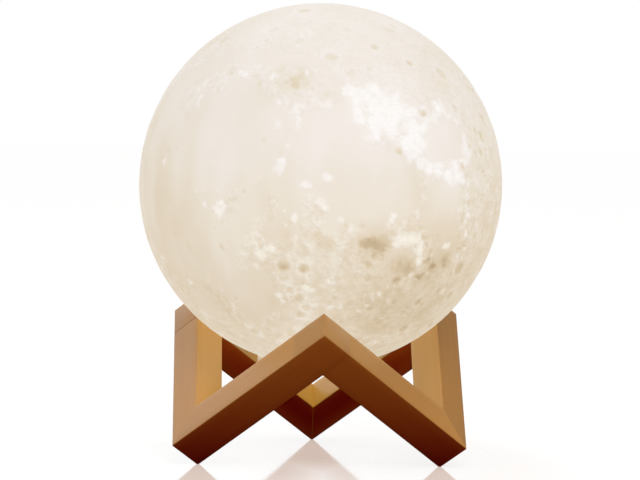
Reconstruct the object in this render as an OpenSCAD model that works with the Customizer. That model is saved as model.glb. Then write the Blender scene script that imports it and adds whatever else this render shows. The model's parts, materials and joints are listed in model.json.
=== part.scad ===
// Moon lamp: a glowing globe that rests on a zig-zag ring of six wooden bars.
// The bars lie along six edges of a cube that stands on its corner, so each
// meets its neighbours at a right angle. Two bars are mitred into a V at each
// foot, and the three Vs are butted together at the upper corners, whose tips
// carry the globe. The light module is held in the globe's neck by a bayonet
// and goes out downwards. Millimetres, +Z up, origin on the table below the
// globe's centre, one upper corner of the ring towards -Y.

/* [Stand] */
// Edge of the cube that the ring of bars follows
cube_edge = 84.5; // [76:0.5:96]
// Width of the face of a bar that looks up and out
bar_up_w = 13.6; // [10:0.1:18]
// Width of the face of a bar that looks down and out
bar_down_w = 15; // [10:0.5:18]
// Chamfer along the long edges of a bar
bar_chamfer = 0.4; // [0.2:0.1:1]
// How much of each sharp foot point is taken off to stand on
foot_flat = 0.5; // [0.4:0.1:1.5]
// Diameter of the dowels in the butt joints
butt_dowel_d = 6; // [4:0.5:7]
// Reach of a butt dowel into the bar that runs through
butt_reach_through = 9; // [6:0.5:9]
// Reach of a butt dowel into the bar that ends there
butt_reach_end = 15; // [10:1:20]
// Diameter of the dowels across the mitres
mitre_dowel_d = 4; // [3:0.5:5]
// Length of the dowels across the mitres
mitre_dowel_len = 12; // [8:1:13]

/* [Globe] */
// Outer diameter of the globe
globe_d = 150; // [140:1:170]
// Wall of the globe's shell
shell_wall = 2; // [1.2:0.1:3]
// Diameter of the opening in the globe's underside
opening_d = 46; // [44:0.5:56]
// Wall of the collar printed inside the opening
collar_wall = 2; // [1.2:0.1:4]
// Height of that collar above the opening's outer edge
collar_h = 8; // [6:0.5:12]

/* [Neck ring] */
// Wall of the sleeve glued into the opening
neck_wall = 2.4; // [2.2:0.1:3.5]
// How far the sleeve stands above the collar
neck_over = 1.5; // [0.5:0.5:4]
// Width of the flange outside the opening
flange_w = 2; // [1:0.5:4]
// Thickness of that flange below the opening's edge
flange_t = 1.8; // [1.2:0.1:3]

/* [Bayonet] */
// Number of lugs
lug_count = 3; // [2:1:4]
// Angle that one lug covers
lug_angle = 16; // [10:1:24]
// Height of a lug
lug_h = 2.4; // [1.5:0.1:3]
// How far a lug stands out of the cup
lug_out = 1.2; // [0.8:0.1:1.4]
// Height of a lug's underside above the cup's lower end
lug_z = 6; // [4:0.5:7]
// Turn from locked to free
twist = 30; // [20:1:40]

/* [Light module] */
// Wall of the cup
cup_wall = 1.6; // [1.2:0.1:2.4]
// Height of the cup up to the face that the lamp board lies on
cup_floor_h = 20; // [18:0.5:28]
// Width and height of the ledge under the lamp board
ledge = 2; // [1.2:0.1:3]
// Thickness of the bottom cover
cover_t = 1.8; // [1.5:0.1:3]
// Rounding of the bottom cover's lower edge
cover_round = 1.2; // [0.5:0.1:1.4]
// Height of the cover's spigot inside the cup
spigot_h = 2; // [1:0.5:4]
// Height of the posts between cover and control board
post_h = 6; // [5:0.5:8]
// Diameter of posts and bosses
boss_d = 5.6; // [4.5:0.1:6.5]
// Height of the screw bosses above the control board
boss_h = 7; // [5:0.5:9]
// Wall of the diffuser
diffuser_wall = 1.5; // [1:0.1:2.5]
// Height of the diffuser's dome above the cup
dome_h = 10; // [6:0.5:14]

/* [Screws] */
// Number of cover screws
screw_count = 3; // [3:1:3]
// Thread diameter
screw_d = 2; // [1.6:0.1:2.5]
// Length under the head
screw_len = 11; // [9:0.5:12]
// Head diameter
screw_head_d = 3.8; // [3:0.1:4.2]
// Head height
screw_head_h = 1.1; // [0.8:0.1:1.3]
// Depth of the cross recess in the head
recess_deep = 0.6; // [0.3:0.1:0.8]
// Width of one slot of that recess
recess_w = 0.5; // [0.3:0.1:0.8]

/* [Button] */
// Diameter of the button
button_d = 9.6; // [7:0.1:11]
// How deep the button's face lies inside the cover's lower face
button_deep = 0.3; // [0.1:0.05:0.5]
// Travel of the button
button_travel = 0.5; // [0.3:0.1:0.8]
// Width and thickness of the rim that keeps the button in
button_rim = 1; // [0.8:0.1:1.5]
// Depth of the finger dish in the button
button_dish = 0.35; // [0.2:0.05:0.5]
// Side of the switch's square body
switch_w = 6; // [5:0.5:7]
// Height of the switch's body
switch_h = 3.2; // [2.5:0.1:3.6]
// Diameter of the switch's plunger
plunger_d = 3.4; // [2.5:0.1:4]
// How far the plunger stands out of the switch
plunger_out = 0.9; // [0.9:0.1:1.2]

/* [Charging port] */
// Width of the port's metal shell
port_w = 8.94; // [8:0.01:10]
// Thickness of the port's metal shell
port_t = 3.26; // [2.8:0.01:4]
// Wall of the metal shell
port_wall = 0.3; // [0.2:0.05:0.4]
// Width of the tongue inside
tongue_w = 6.7; // [5:0.1:7]
// Thickness of the tongue
tongue_t = 0.7; // [0.5:0.05:0.9]
// Distance of the port from the centre
port_y = 11.5; // [10:0.5:12.5]
// How deep the port's mouth lies inside the cover
port_deep = 0.4; // [0.2:0.1:0.8]

/* [Boards and battery] */
// Thickness of the control board
board_t = 1.2; // [0.8:0.1:1.6]
// Thickness of the lamp board
lamp_board_t = 1.6; // [1:0.1:2]
// Number of light-emitting chips in the ring
led_count = 8; // [6:1:10]
// Side of one such chip
led_w = 5; // [3:0.5:5]
// Height of one such chip
led_h = 1.6; // [1:0.1:2]
// Radius of the ring of chips
led_ring_r = 11.5; // [10.5:0.5:12.5]
// Width of the battery cell
battery_w = 19; // [14:1:20]
// Length of the battery cell
battery_l = 24; // [18:1:25]
// Height of the battery cell
battery_h = 6; // [4:0.5:7]
// Rounding of the battery's corners
battery_round = 1.5; // [0.5:0.5:3]
// Thickness of the foam pad under the battery
pad_t = 0.8; // [0.5:0.1:1.5]
// Diameter of a lead
lead_d = 1; // [0.8:0.1:1.4]
// Bend radius of the battery leads
lead_bend = 1.5; // [1:0.1:1.8]
// Distance of a battery lead from the middle
battery_lead_x = 5; // [4:0.5:7]
// Distance of a lamp lead from the middle
lamp_lead_x = 2.5; // [1:0.5:4]
// Gap between the battery and the lamp leads
lamp_lead_gap = 2; // [1:0.5:2.5]
// Width of the charging chip
charger_w = 4; // [3:0.5:5]
// Length of the charging chip
charger_l = 5; // [3:0.5:6]
// Height of the charging chip
charger_h = 1.5; // [1:0.1:2]
// Width of the dimming chip
dimmer_w = 3; // [2:0.5:4]
// Length of the dimming chip
dimmer_l = 1.6; // [1:0.1:3]
// Height of the dimming chip
dimmer_h = 1; // [0.6:0.1:1.6]
// Gap between the charging chip and the dimming chip
chip_gap = 1; // [0.5:0.1:2]
// Diameter of the coil beside the battery
coil_d = 5; // [4:0.5:5.5]
// Height of the coil
coil_h = 2.4; // [1.5:0.1:4]
// Diameter of the indicator's light pipe
pipe_d = 2; // [1.5:0.1:3]
// Distance of the indicator from the centre
indicator_r = 11; // [10:0.5:13]
// Length of the indicator's chip
indicator_l = 1.6; // [1:0.1:2]
// Height of the indicator's chip
indicator_h = 0.6; // [0.4:0.1:0.8]

/* [Fits] */
// Gap between the globe and the tips that carry it
cradle_gap = 0.2; // [0.1:0.05:0.3]
// Glue gap around dowels and in the globe's opening
glue_gap = 0.1; // [0.05:0.05:0.2]
// Radial gap of the turning module in its neck
twist_gap = 0.3; // [0.2:0.05:0.4]
// Gap around the sliding button
slide_gap = 0.25; // [0.15:0.05:0.3]
// Gap around boards, screws and other fixed fittings
fit_gap = 0.1; // [0.05:0.05:0.2]

/* [Hidden] */
$fn = 96;
far = 400;                                       // larger than the lamp
globe_r = globe_d / 2;
opening_r = opening_d / 2;

// Stand: heights above the cube's lowest corner, divided by the cube's diagonal
floor_drop = (cube_edge - bar_down_w) / sqrt(3) + foot_flat;
tip_z = (2 * cube_edge + bar_up_w) / sqrt(3) - floor_drop;
tip_r = (cube_edge - bar_up_w) * sqrt(2 / 3);

// Globe and neck
globe_z = tip_z + sqrt(pow(globe_r + cradle_gap, 2) - tip_r * tip_r);
opening_z = globe_z - sqrt(globe_r * globe_r - opening_r * opening_r);
neck_r = opening_r - glue_gap;
bore_r = neck_r - neck_wall;
flange_r = opening_r + flange_w;
neck_top = opening_z + collar_h + neck_over;
flange_z = opening_z - flange_t;

// Light module: the cover's inner face is the level that it is built from
cup_z = flange_z - twist_gap;
cup_r = bore_r - twist_gap;
cup_in_r = cup_r - cup_wall;
cover_z = cup_z - cover_t;
board_z = cup_z + post_h;
board_top = board_z + board_t;
board_r = cup_in_r - fit_gap;
boss_ring_r = cup_in_r - boss_d / 2 + 0.2;       // bosses run into the wall
lamp_board_z = cup_z + cup_floor_h;
lamp_board_top = lamp_board_z + lamp_board_t;
dome_r = (cup_r * cup_r + dome_h * dome_h) / (2 * dome_h);
battery_z = board_top + pad_t;
button_rim_z = cup_z + fit_gap;
switch_z = board_z - switch_h;
plunger_z = switch_z - plunger_out;
lug_angles = [for (i = [0 : lug_count - 1]) i * 360 / lug_count];
screw_angles = [for (i = [0 : screw_count - 1]) 30 + i * 360 / screw_count];

wood = [0.62, 0.40, 0.24];
wood_light = [0.80, 0.62, 0.42];
ivory = [0.96, 0.92, 0.84];
white_plastic = [0.93, 0.93, 0.92];
frosted = [0.97, 0.97, 0.95];
metal = [0.78, 0.79, 0.80];
board_green = [0.10, 0.36, 0.22];
board_white = [0.88, 0.89, 0.88];
chip_black = [0.10, 0.10, 0.11];
led_yellow = [0.95, 0.85, 0.45];
foam_grey = [0.35, 0.35, 0.36];
foil_silver = [0.70, 0.71, 0.73];
lead_red = [0.70, 0.08, 0.07];

// ---------------------------------------------------------------- stand

// Puts a V, drawn at the cube's corner (cube_edge, 0, 0), under the globe:
// the cube's diagonal becomes +Z, and the V's foot lies at -30 degrees + turn.
module on_corner(turn) {
    translate([0, 0, -floor_drop])
        rotate([0, 0, 30 + turn])
            rotate([0, -atan(sqrt(2)), 0])
                rotate([0, 0, -45])
                    children();
}

// A bar's section: bar_down_w along x, bar_up_w along y.
module bar_section() {
    c = bar_chamfer;
    w = bar_down_w;
    h = bar_up_w;
    polygon([[c, 0], [w - c, 0], [w, c], [w, h - c],
             [w - c, h], [c, h], [0, h - c], [0, c]]);
}

// A bar of one V along +z, with its mitre at the foot.
module mitred_bar(length) {
    translate([cube_edge - bar_down_w, 0, 0])
        difference() {
            linear_extrude(length) bar_section();
            rotate([45, 0, 0])
                translate([-far / 2, -far / 2, -far]) cube(far);
        }
}

// Axis of a mitre's dowel, from the mitre's middle, square to the mitre.
module mitre_dowel(d, length) {
    translate([cube_edge - bar_down_w / 2, bar_up_w / 2, bar_up_w / 2])
        rotate([45, 0, 0]) cylinder(d = d, h = length, center = true);
}

// Dowel between the end of a bar along +z and the bar that runs past it.
module butt_dowel(d, extra) {
    translate([cube_edge - bar_down_w / 2, bar_up_w / 2,
               cube_edge - bar_down_w - butt_reach_end - extra])
        cylinder(d = d, h = butt_reach_end + butt_reach_through + 2 * extra);
}

module below_table() {
    translate([-far / 2, -far / 2, -far]) cube(far);
}

// The bar of a V that ends against its neighbour at the upper corner.
module ending_bar(turn) {
    color(wood)
        difference() {
            on_corner(turn)
                difference() {
                    mitred_bar(cube_edge - bar_down_w);
                    mitre_dowel(mitre_dowel_d + 2 * glue_gap,
                                mitre_dowel_len + 2 * glue_gap);
                    butt_dowel(butt_dowel_d + 2 * glue_gap, glue_gap);
                }
            below_table();
        }
}

// The bar of a V that runs through to the upper corner's outer face. The
// dowel that it shares comes from the V a third of a turn on.
module through_bar(turn) {
    color(wood)
        difference() {
            on_corner(turn)
                difference() {
                    mirror([0, 1, -1]) mitred_bar(cube_edge);
                    mitre_dowel(mitre_dowel_d + 2 * glue_gap,
                                mitre_dowel_len + 2 * glue_gap);
                }
            on_corner(turn + 120)
                butt_dowel(butt_dowel_d + 2 * glue_gap, glue_gap);
            below_table();
        }
}

module front_right_bar() { ending_bar(0); }
module right_bar() { through_bar(0); }
module back_right_bar() { ending_bar(120); }
module back_left_bar() { through_bar(120); }
module left_bar() { ending_bar(240); }
module front_left_bar() { through_bar(240); }

module butt_dowels() {
    color(wood_light)
        for (turn = [0, 120, 240])
            on_corner(turn) butt_dowel(butt_dowel_d, 0);
}

module mitre_dowels() {
    color(wood_light)
        for (turn = [0, 120, 240])
            on_corner(turn) mitre_dowel(mitre_dowel_d, mitre_dowel_len);
}

// ---------------------------------------------------------------- globe

module moon_shell() {
    color(ivory)
        difference() {
            union() {
                translate([0, 0, globe_z])
                    difference() {
                        sphere(r = globe_r);
                        sphere(r = globe_r - shell_wall);
                    }
                intersection() {
                    translate([0, 0, globe_z]) sphere(r = globe_r);
                    translate([0, 0, opening_z - shell_wall])
                        cylinder(r = opening_r + collar_wall,
                                 h = collar_h + shell_wall);
                }
            }
            translate([0, 0, opening_z - globe_r])
                cylinder(r = opening_r, h = globe_r + collar_h + shell_wall);
        }
}

// A wedge with its edge on the axis, centred on angle 0.
module wedge(angle, h) {
    side = globe_r * sin(angle / 2);
    reach = globe_r * cos(angle / 2);
    linear_extrude(h) polygon([[0, 0], [reach, -side], [reach, side]]);
}

// The way of one lug: straight up from below, then round to where it locks.
// The way round ends a little past the way in.
module lug_slot() {
    slot_r = cup_r + lug_out + twist_gap;
    play = twist_gap / slot_r * 180 / PI;
    width = lug_angle + 2 * play;
    way_round = twist + width + play;
    top = cup_z + lug_z + lug_h + twist_gap;
    bottom = cup_z + lug_z - twist_gap;
    middle = (top + bottom) / 2;
    intersection() {
        cylinder(r = slot_r, h = far);
        union() {
            rotate([0, 0, twist])
                translate([0, 0, flange_z - 1])
                    wedge(width, middle - flange_z + 1);
            rotate([0, 0, (twist + play) / 2])
                translate([0, 0, bottom]) wedge(way_round, top - bottom);
        }
    }
}

module neck_ring() {
    color(white_plastic)
        difference() {
            union() {
                translate([0, 0, flange_z])
                    cylinder(r = neck_r, h = neck_top - flange_z);
                difference() {
                    translate([0, 0, flange_z])
                        cylinder(r = flange_r, h = flange_t + flange_w);
                    translate([0, 0, globe_z]) sphere(r = globe_r + glue_gap);
                }
            }
            translate([0, 0, flange_z - 1])
                cylinder(r = bore_r, h = neck_top - flange_z + 2);
            for (a = lug_angles) rotate([0, 0, a]) lug_slot();
        }
}

// ---------------------------------------------------------------- module

module at_screws() {
    for (a = screw_angles)
        rotate([0, 0, a]) translate([boss_ring_r, 0, 0]) children();
}

module lug() {
    translate([0, 0, cup_z + lug_z])
        intersection() {
            difference() {
                cylinder(r = cup_r + lug_out, h = lug_h);
                translate([0, 0, -1])
                    cylinder(r = cup_r - cup_wall / 2, h = lug_h + 2);
            }
            wedge(lug_angle, lug_h);
        }
}

module module_cup() {
    color(white_plastic)
        difference() {
            union() {
                translate([0, 0, cup_z])
                    difference() {
                        cylinder(r = cup_r, h = cup_floor_h + lamp_board_t);
                        translate([0, 0, -1])
                            cylinder(r = cup_in_r,
                                     h = cup_floor_h + lamp_board_t + 2);
                    }
                translate([0, 0, lamp_board_z - ledge])
                    difference() {
                        cylinder(r = cup_in_r + cup_wall / 2, h = ledge);
                        translate([0, 0, -1])
                            cylinder(r = cup_in_r - ledge, h = ledge + 2);
                    }
                for (a = lug_angles) rotate([0, 0, a]) lug();
                at_screws()
                    translate([0, 0, board_top])
                        cylinder(d = boss_d, h = boss_h);
            }
            at_screws()
                translate([0, 0, board_top - 1])
                    cylinder(d = screw_d + 2 * fit_gap, h = boss_h);
        }
}

module at_indicator() {
    rotate([0, 0, 210]) translate([indicator_r, 0, 0]) children();
}

module port_outline(grow) {
    r = port_t / 2 + grow;
    flat = port_w - port_t;
    translate([-flat / 2, -r]) square([flat, 2 * r]);
    for (side = [-1, 1])
        translate([side * flat / 2, 0]) circle(r = r);
}

module bottom_cover() {
    plate_r = flange_r;
    rim_r = cup_in_r - fit_gap;
    color(white_plastic)
        difference() {
            union() {
                translate([0, 0, cover_z])
                    rotate_extrude() {
                        square([plate_r - cover_round, cover_t]);
                        translate([0, cover_round])
                            square([plate_r, cover_t - cover_round]);
                        intersection() {
                            translate([plate_r - cover_round, cover_round])
                                circle(r = cover_round);
                            square([plate_r, cover_round]);
                        }
                    }
                translate([0, 0, cup_z])
                    difference() {
                        cylinder(r = rim_r, h = spigot_h);
                        translate([0, 0, -1])
                            cylinder(r = rim_r - cup_wall, h = spigot_h + 2);
                    }
                intersection() {
                    translate([0, 0, cover_z + cover_t / 2])
                        at_screws() cylinder(d = boss_d,
                                             h = post_h + cover_t / 2);
                    translate([0, 0, cover_z])
                        cylinder(r = rim_r, h = post_h + cover_t);
                }
            }
            at_screws()
                translate([0, 0, cover_z - 1]) {
                    cylinder(d = screw_d + 2 * fit_gap,
                             h = post_h + cover_t + 2);
                    cylinder(d = screw_head_d + 2 * fit_gap,
                             h = screw_head_h + fit_gap + 1);
                }
            translate([0, 0, cover_z - 1])
                cylinder(d = button_d + 2 * slide_gap, h = cover_t + 2);
            translate([0, port_y, cover_z - 1])
                linear_extrude(cover_t + 2) port_outline(fit_gap);
            at_indicator()
                translate([0, 0, cover_z - 1])
                    cylinder(d = pipe_d + 2 * fit_gap, h = cover_t + 2);
        }
}

module cover_screws() {
    head_z = cover_z + fit_gap;
    color(metal)
        at_screws()
            difference() {
                translate([0, 0, head_z]) {
                    cylinder(d = screw_head_d, h = screw_head_h);
                    cylinder(d = screw_d, h = screw_head_h + screw_len);
                }
                for (turn = [0, 90])
                    rotate([0, 0, turn])
                        translate([0, 0, head_z])
                            cube([screw_head_d * 0.6, recess_w,
                                  2 * recess_deep], center = true);
            }
}

module control_board() {
    color(board_green)
        difference() {
            translate([0, 0, board_z]) cylinder(r = board_r, h = board_t);
            at_screws()
                translate([0, 0, board_z - 1])
                    cylinder(d = screw_d + 2 * fit_gap, h = board_t + 2);
        }
}

// Charging and dimming parts on the board, beside the battery.
module board_chips() {
    side = (battery_w / 2 + board_r) / 2;
    color(chip_black) {
        translate([side - charger_w / 2, -charger_l, board_top])
            cube([charger_w, charger_l, charger_h]);
        translate([side - dimmer_w / 2, chip_gap, board_top])
            cube([dimmer_w, dimmer_l, dimmer_h]);
        translate([-side, -coil_d / 2, board_top])
            cylinder(d = coil_d, h = coil_h);
    }
}

module switch_body() {
    color(chip_black)
        difference() {
            translate([-switch_w / 2, -switch_w / 2, switch_z])
                cube([switch_w, switch_w, switch_h]);
            translate([0, 0, switch_z - 1])
                cylinder(d = plunger_d + 2 * slide_gap,
                         h = 1 + button_travel + 2 * fit_gap + 1);
        }
}

module switch_plunger() {
    color(metal)
        translate([0, 0, plunger_z])
            cylinder(d = plunger_d, h = plunger_out + 1);
}

module power_button() {
    face_z = cover_z + button_deep;
    dish_r = (pow(button_d / 2 - 1, 2) + pow(button_dish, 2))
             / (2 * button_dish);
    color(white_plastic)
        difference() {
            union() {
                translate([0, 0, face_z])
                    cylinder(d = button_d,
                             h = button_rim_z + button_rim - face_z);
                translate([0, 0, button_rim_z])
                    cylinder(d = button_d + 2 * slide_gap + 2 * button_rim,
                             h = button_rim);
                translate([0, 0, button_rim_z])
                    cylinder(d = plunger_d, h = plunger_z - button_rim_z);
            }
            translate([0, 0, face_z + button_dish - dish_r])
                sphere(r = dish_r);
        }
}

module port_shell() {
    mouth_z = cover_z + port_deep;
    color(metal)
        translate([0, port_y, mouth_z])
            difference() {
                linear_extrude(board_z - mouth_z) port_outline(0);
                translate([0, 0, -1])
                    linear_extrude(board_z - mouth_z)
                        port_outline(-port_wall);
            }
}

module port_tongue() {
    base_z = board_z - 1;
    tip_at = cover_z + port_deep + port_wall;
    color(chip_black)
        translate([-tongue_w / 2, port_y - tongue_t / 2, tip_at])
            cube([tongue_w, tongue_t, base_z - tip_at]);
}

module indicator_led() {
    color(led_yellow)
        at_indicator()
            translate([-indicator_l / 2, -indicator_l / 4,
                       board_z - indicator_h])
                cube([indicator_l, indicator_l / 2, indicator_h]);
}

// Clear pin from the indicator to the cover's lower face.
module light_pipe() {
    top = board_z - indicator_h - fit_gap;
    color(frosted)
        at_indicator() {
            translate([0, 0, cover_z])
                cylinder(d = pipe_d, h = top - cover_z);
            translate([0, 0, cup_z]) cylinder(d = pipe_d + 1, h = 1);
        }
}

module battery_outline() {
    x = battery_w / 2 - battery_round;
    y = battery_l / 2 - battery_round;
    square([2 * x, battery_l], center = true);
    square([battery_w, 2 * y], center = true);
    for (sx = [-1, 1], sy = [-1, 1])
        translate([sx * x, sy * y]) circle(r = battery_round);
}

module battery_pad() {
    color(foam_grey)
        translate([0, 0, board_top]) linear_extrude(pad_t) battery_outline();
}

module battery_cell() {
    color(foil_silver)
        translate([0, 0, battery_z])
            linear_extrude(battery_h) battery_outline();
}

// Two leads leave the battery's front end, bend and stand on the board.
module battery_leads() {
    end_y = -battery_l / 2;
    lead_z = battery_z + battery_h / 2;
    drop = lead_z - lead_bend - board_top;
    color(lead_red)
        for (side = [-1, 1])
            translate([side * battery_lead_x, end_y, lead_z - lead_bend]) {
                rotate([90, 0, -90])
                    rotate_extrude(angle = 90)
                        translate([lead_bend, 0]) circle(d = lead_d);
                translate([0, -lead_bend, -drop])
                    cylinder(d = lead_d, h = drop);
            }
}

module lamp_leads() {
    lead_y = battery_l / 2 + lamp_lead_gap + lead_d / 2;
    color(lead_red)
        for (side = [-1, 1])
            translate([side * lamp_lead_x, lead_y, board_top])
                cylinder(d = lead_d, h = lamp_board_z - board_top);
}

module lamp_board() {
    color(board_white)
        translate([0, 0, lamp_board_z])
            cylinder(r = board_r, h = lamp_board_t);
}

module lamp_chips() {
    color(led_yellow)
        translate([0, 0, lamp_board_top]) {
            for (i = [0 : led_count - 1])
                rotate([0, 0, i * 360 / led_count])
                    translate([led_ring_r - led_w / 2, -led_w / 2, 0])
                        cube([led_w, led_w, led_h]);
            translate([-led_w / 2, -led_w / 2, 0]) cube([led_w, led_w, led_h]);
        }
}

module light_diffuser() {
    color(frosted)
        translate([0, 0, lamp_board_top])
            difference() {
                translate([0, 0, dome_h - dome_r]) sphere(r = dome_r);
                translate([0, 0, dome_h - dome_r])
                    sphere(r = dome_r - diffuser_wall);
                translate([-far / 2, -far / 2, -far]) cube(far);
            }
}

front_left_bar();
front_right_bar();
left_bar();
right_bar();
back_left_bar();
back_right_bar();
butt_dowels();
mitre_dowels();
moon_shell();
neck_ring();
module_cup();
bottom_cover();
cover_screws();
control_board();
board_chips();
switch_body();
switch_plunger();
power_button();
port_shell();
port_tongue();
indicator_led();
light_pipe();
battery_pad();
battery_cell();
battery_leads();
lamp_leads();
lamp_board();
lamp_chips();
light_diffuser();
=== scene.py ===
"""Moon lamp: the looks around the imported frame.

A printed moon globe, lit from inside, rests on the three upper corners of a
zig-zag ring of six lacquered wooden bars. Metres, +Z up, -Y towards the viewer.
"""

import json
import math

import bmesh
import bpy
import numpy as np
from mathutils import Matrix, Vector

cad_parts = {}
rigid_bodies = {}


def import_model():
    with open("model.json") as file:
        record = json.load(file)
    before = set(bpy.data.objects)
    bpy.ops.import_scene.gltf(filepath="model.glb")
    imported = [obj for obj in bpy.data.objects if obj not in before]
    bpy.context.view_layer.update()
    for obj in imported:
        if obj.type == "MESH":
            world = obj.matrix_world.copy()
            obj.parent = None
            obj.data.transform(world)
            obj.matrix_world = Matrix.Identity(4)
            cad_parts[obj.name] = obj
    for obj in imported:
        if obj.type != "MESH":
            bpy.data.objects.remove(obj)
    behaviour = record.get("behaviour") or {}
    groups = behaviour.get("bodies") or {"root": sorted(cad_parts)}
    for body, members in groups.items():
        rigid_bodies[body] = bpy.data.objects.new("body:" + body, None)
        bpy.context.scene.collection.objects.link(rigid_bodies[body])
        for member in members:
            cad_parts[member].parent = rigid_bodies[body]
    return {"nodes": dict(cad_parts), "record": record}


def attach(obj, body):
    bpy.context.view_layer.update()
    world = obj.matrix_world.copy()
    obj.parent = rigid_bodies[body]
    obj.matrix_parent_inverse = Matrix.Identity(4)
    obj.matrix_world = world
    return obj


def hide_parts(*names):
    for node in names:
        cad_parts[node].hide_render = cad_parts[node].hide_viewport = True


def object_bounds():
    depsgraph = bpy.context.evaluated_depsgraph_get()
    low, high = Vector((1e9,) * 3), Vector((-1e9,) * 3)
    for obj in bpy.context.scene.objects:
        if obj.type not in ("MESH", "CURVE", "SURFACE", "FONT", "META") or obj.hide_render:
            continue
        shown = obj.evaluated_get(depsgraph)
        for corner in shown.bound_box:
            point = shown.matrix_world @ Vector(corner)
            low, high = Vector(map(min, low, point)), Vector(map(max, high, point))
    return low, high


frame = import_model()
cad_low, cad_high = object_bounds()

MM = 0.001

# Sizes that the frame shares with these pieces, in millimetres
CUBE_EDGE = 84.5
BAR_UP_W = 13.6
BAR_DOWN_W = 15.0
FOOT_FLAT = 0.5
GLOBE_R = 75.0
SHELL_WALL = 2.0
OPENING_R = 23.0
COLLAR_WALL = 2.0
COLLAR_H = 8.0
GLOBE_Z = cad_high.z / MM - GLOBE_R

# The finish of the bars, in millimetres
EDGE_ROUND = 0.35
MITRE_LINE = 0.35               # bare wood along a mitre
MITRE_EASE = 0.03               # how far a mitre is drawn in
BUTT_EASE = 0.012               # how far a butt end is drawn in
SEEN_BUTT_EASE = 0.2            # the same where the joint shows as a line
MEETING_EDGE = 0.012            # rounding of the edges that the next bar meets
BACK_MEETING_EDGE = 0.3
BEFORE_JOINT = 0.15             # that rounding begins between these two,
AFTER_JOINT = 0.05              # before and beyond the joint
BAR_CREASE = 32                 # degrees; sharper edges stay crisp
PLAIN_SHADOW = 0.167            # share by which faces that don't look up are darker
LOWER_FACE_RISE = -1 / math.sqrt(3)
UNDERSHADE_TOP = 62.0                # painted shade on the downward faces deepens from here down to the table

# The camera, from a fit of the stand and the globe to the view
CAMERA_DISTANCE = 1474.45
CAMERA_RISE = 3.90              # degrees above the horizon
CAMERA_TURN = -2.0998           # degrees round the lamp
CAMERA_ROLL = 0.911
PICTURE_WIDTH = 640             # pixels
CAMERA_FOCUS = 3568.40          # in those pixels
TARGET = (0.0722, 0.0, 90.45 - FOOT_FLAT)

# The globe in the photograph: the middle and the radius of its outline in
# pixels, and the eye's distance in globe radii and rise above its middle
OUTLINE_ACROSS = 320.6
OUTLINE_DOWN = 185.5
OUTLINE_R = 182.4
EYE_DISTANCE = 19.64
EYE_RISE = 3.18                 # degrees, as fitted to the moon's features


# ------------------------------------------------------------------ mesh help

def smooth_by_angle(mesh, degrees):
    """Shades the mesh smooth, with edges sharper than the angle kept crisp."""
    mesh.shade_smooth()
    mesh.set_sharp_from_angle(angle=math.radians(degrees))


def new_piece(name, verts_mm, faces, body, material, replaced=(),
              sharp=None):
    """Makes a piece of vertices in millimetres and faces of index tuples,
    placed in its mesh, and rides it on its body."""
    mesh = bpy.data.meshes.new(name)
    mesh.from_pydata((np.asarray(verts_mm) * MM).tolist(), [], faces)
    mesh.update()
    piece = bpy.data.objects.new(name, mesh)
    bpy.context.scene.collection.objects.link(piece)
    if sharp is not None:
        smooth_by_angle(mesh, sharp)
    mesh.materials.append(material)
    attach(piece, body)
    if replaced:
        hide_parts(*replaced)
    return piece


def add_values(mesh, name, values):
    """Stores one number or one vector for each vertex under a name."""
    values = np.asarray(values, np.float32)
    kind, key = ("FLOAT", "value") if values.ndim == 1 else ("FLOAT_VECTOR", "vector")
    layer = mesh.attributes.new(name, kind, "POINT")
    layer.data.foreach_set(key, values.ravel())


def grid_faces(rows, columns, wrap=True, first=0):
    """Quads of a grid of rows by columns, row after row. With wrap, the last
    column joins the first."""
    r = np.arange(rows - 1)[:, None]
    c = np.arange(columns if wrap else columns - 1)[None, :]
    a = r * columns + c
    b = r * columns + (c + 1) % columns
    quads = np.stack([a, b, b + columns, a + columns], -1).reshape(-1, 4) + first
    return [tuple(q) for q in quads.tolist()]


# ------------------------------------------------------------------ noise

def gradient_noise(points, cells, seed):
    """Gradient noise of unit size at points: a random slope at each corner of
    a cubic lattice, blended with the weight 6t^5 - 15t^4 + 10t^3."""
    rng = np.random.default_rng(seed)
    table = rng.permutation(256)
    slopes = rng.normal(size=(256, 3))
    slopes /= np.linalg.norm(slopes, axis=1)[:, None]
    p = points * cells + rng.uniform(10, 90, 3)
    cell = np.floor(p).astype(int)
    t = p - cell
    w = t * t * t * (t * (t * 6 - 15) + 10)
    total = np.zeros(len(p))
    for dx in (0, 1):
        for dy in (0, 1):
            for dz in (0, 1):
                i = table[(cell[:, 0] + dx) & 255]
                i = table[(i + cell[:, 1] + dy) & 255]
                i = table[(i + cell[:, 2] + dz) & 255]
                away = t - np.array([dx, dy, dz])
                part = (slopes[i] * away).sum(1)
                part *= (w[:, 0] if dx else 1 - w[:, 0])
                part *= (w[:, 1] if dy else 1 - w[:, 1])
                part *= (w[:, 2] if dz else 1 - w[:, 2])
                total += part
    return total * 1.5


def cloud_noise(points, cells, octaves, seed, gain=0.5):
    """Sum of gradient noises, each twice as fine and gain times as strong."""
    total, strength, norm = 0.0, 1.0, 0.0
    for k in range(octaves):
        total = total + strength * gradient_noise(points, cells * 2 ** k, seed + k)
        norm += strength
        strength *= gain
    return total / norm


def smoothstep(low, high, x):
    """0 below low, 1 above high, and 3t^2 - 2t^3 between them."""
    t = np.clip((x - low) / (high - low), 0, 1)
    return t * t * (3 - 2 * t)


# ------------------------------------------------------------------ the moon

# The print's relief, in millimetres before it is scaled by RELIEF_SHARE
LAND_HEIGHT = 0.30
RIDGE_HEIGHT = 0.34
ROUGHNESS = 0.34
WAVE_HEIGHT = 0.10
TOP_HEIGHT = 0.66
TOP_BEND = 7                    # the larger, the tighter the rounding at the top
LOWEST = -0.9
RELIEF_SHARE = 0.45
SKIN_GAP = 0.03                 # how far the highest point stays inside the shell

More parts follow.
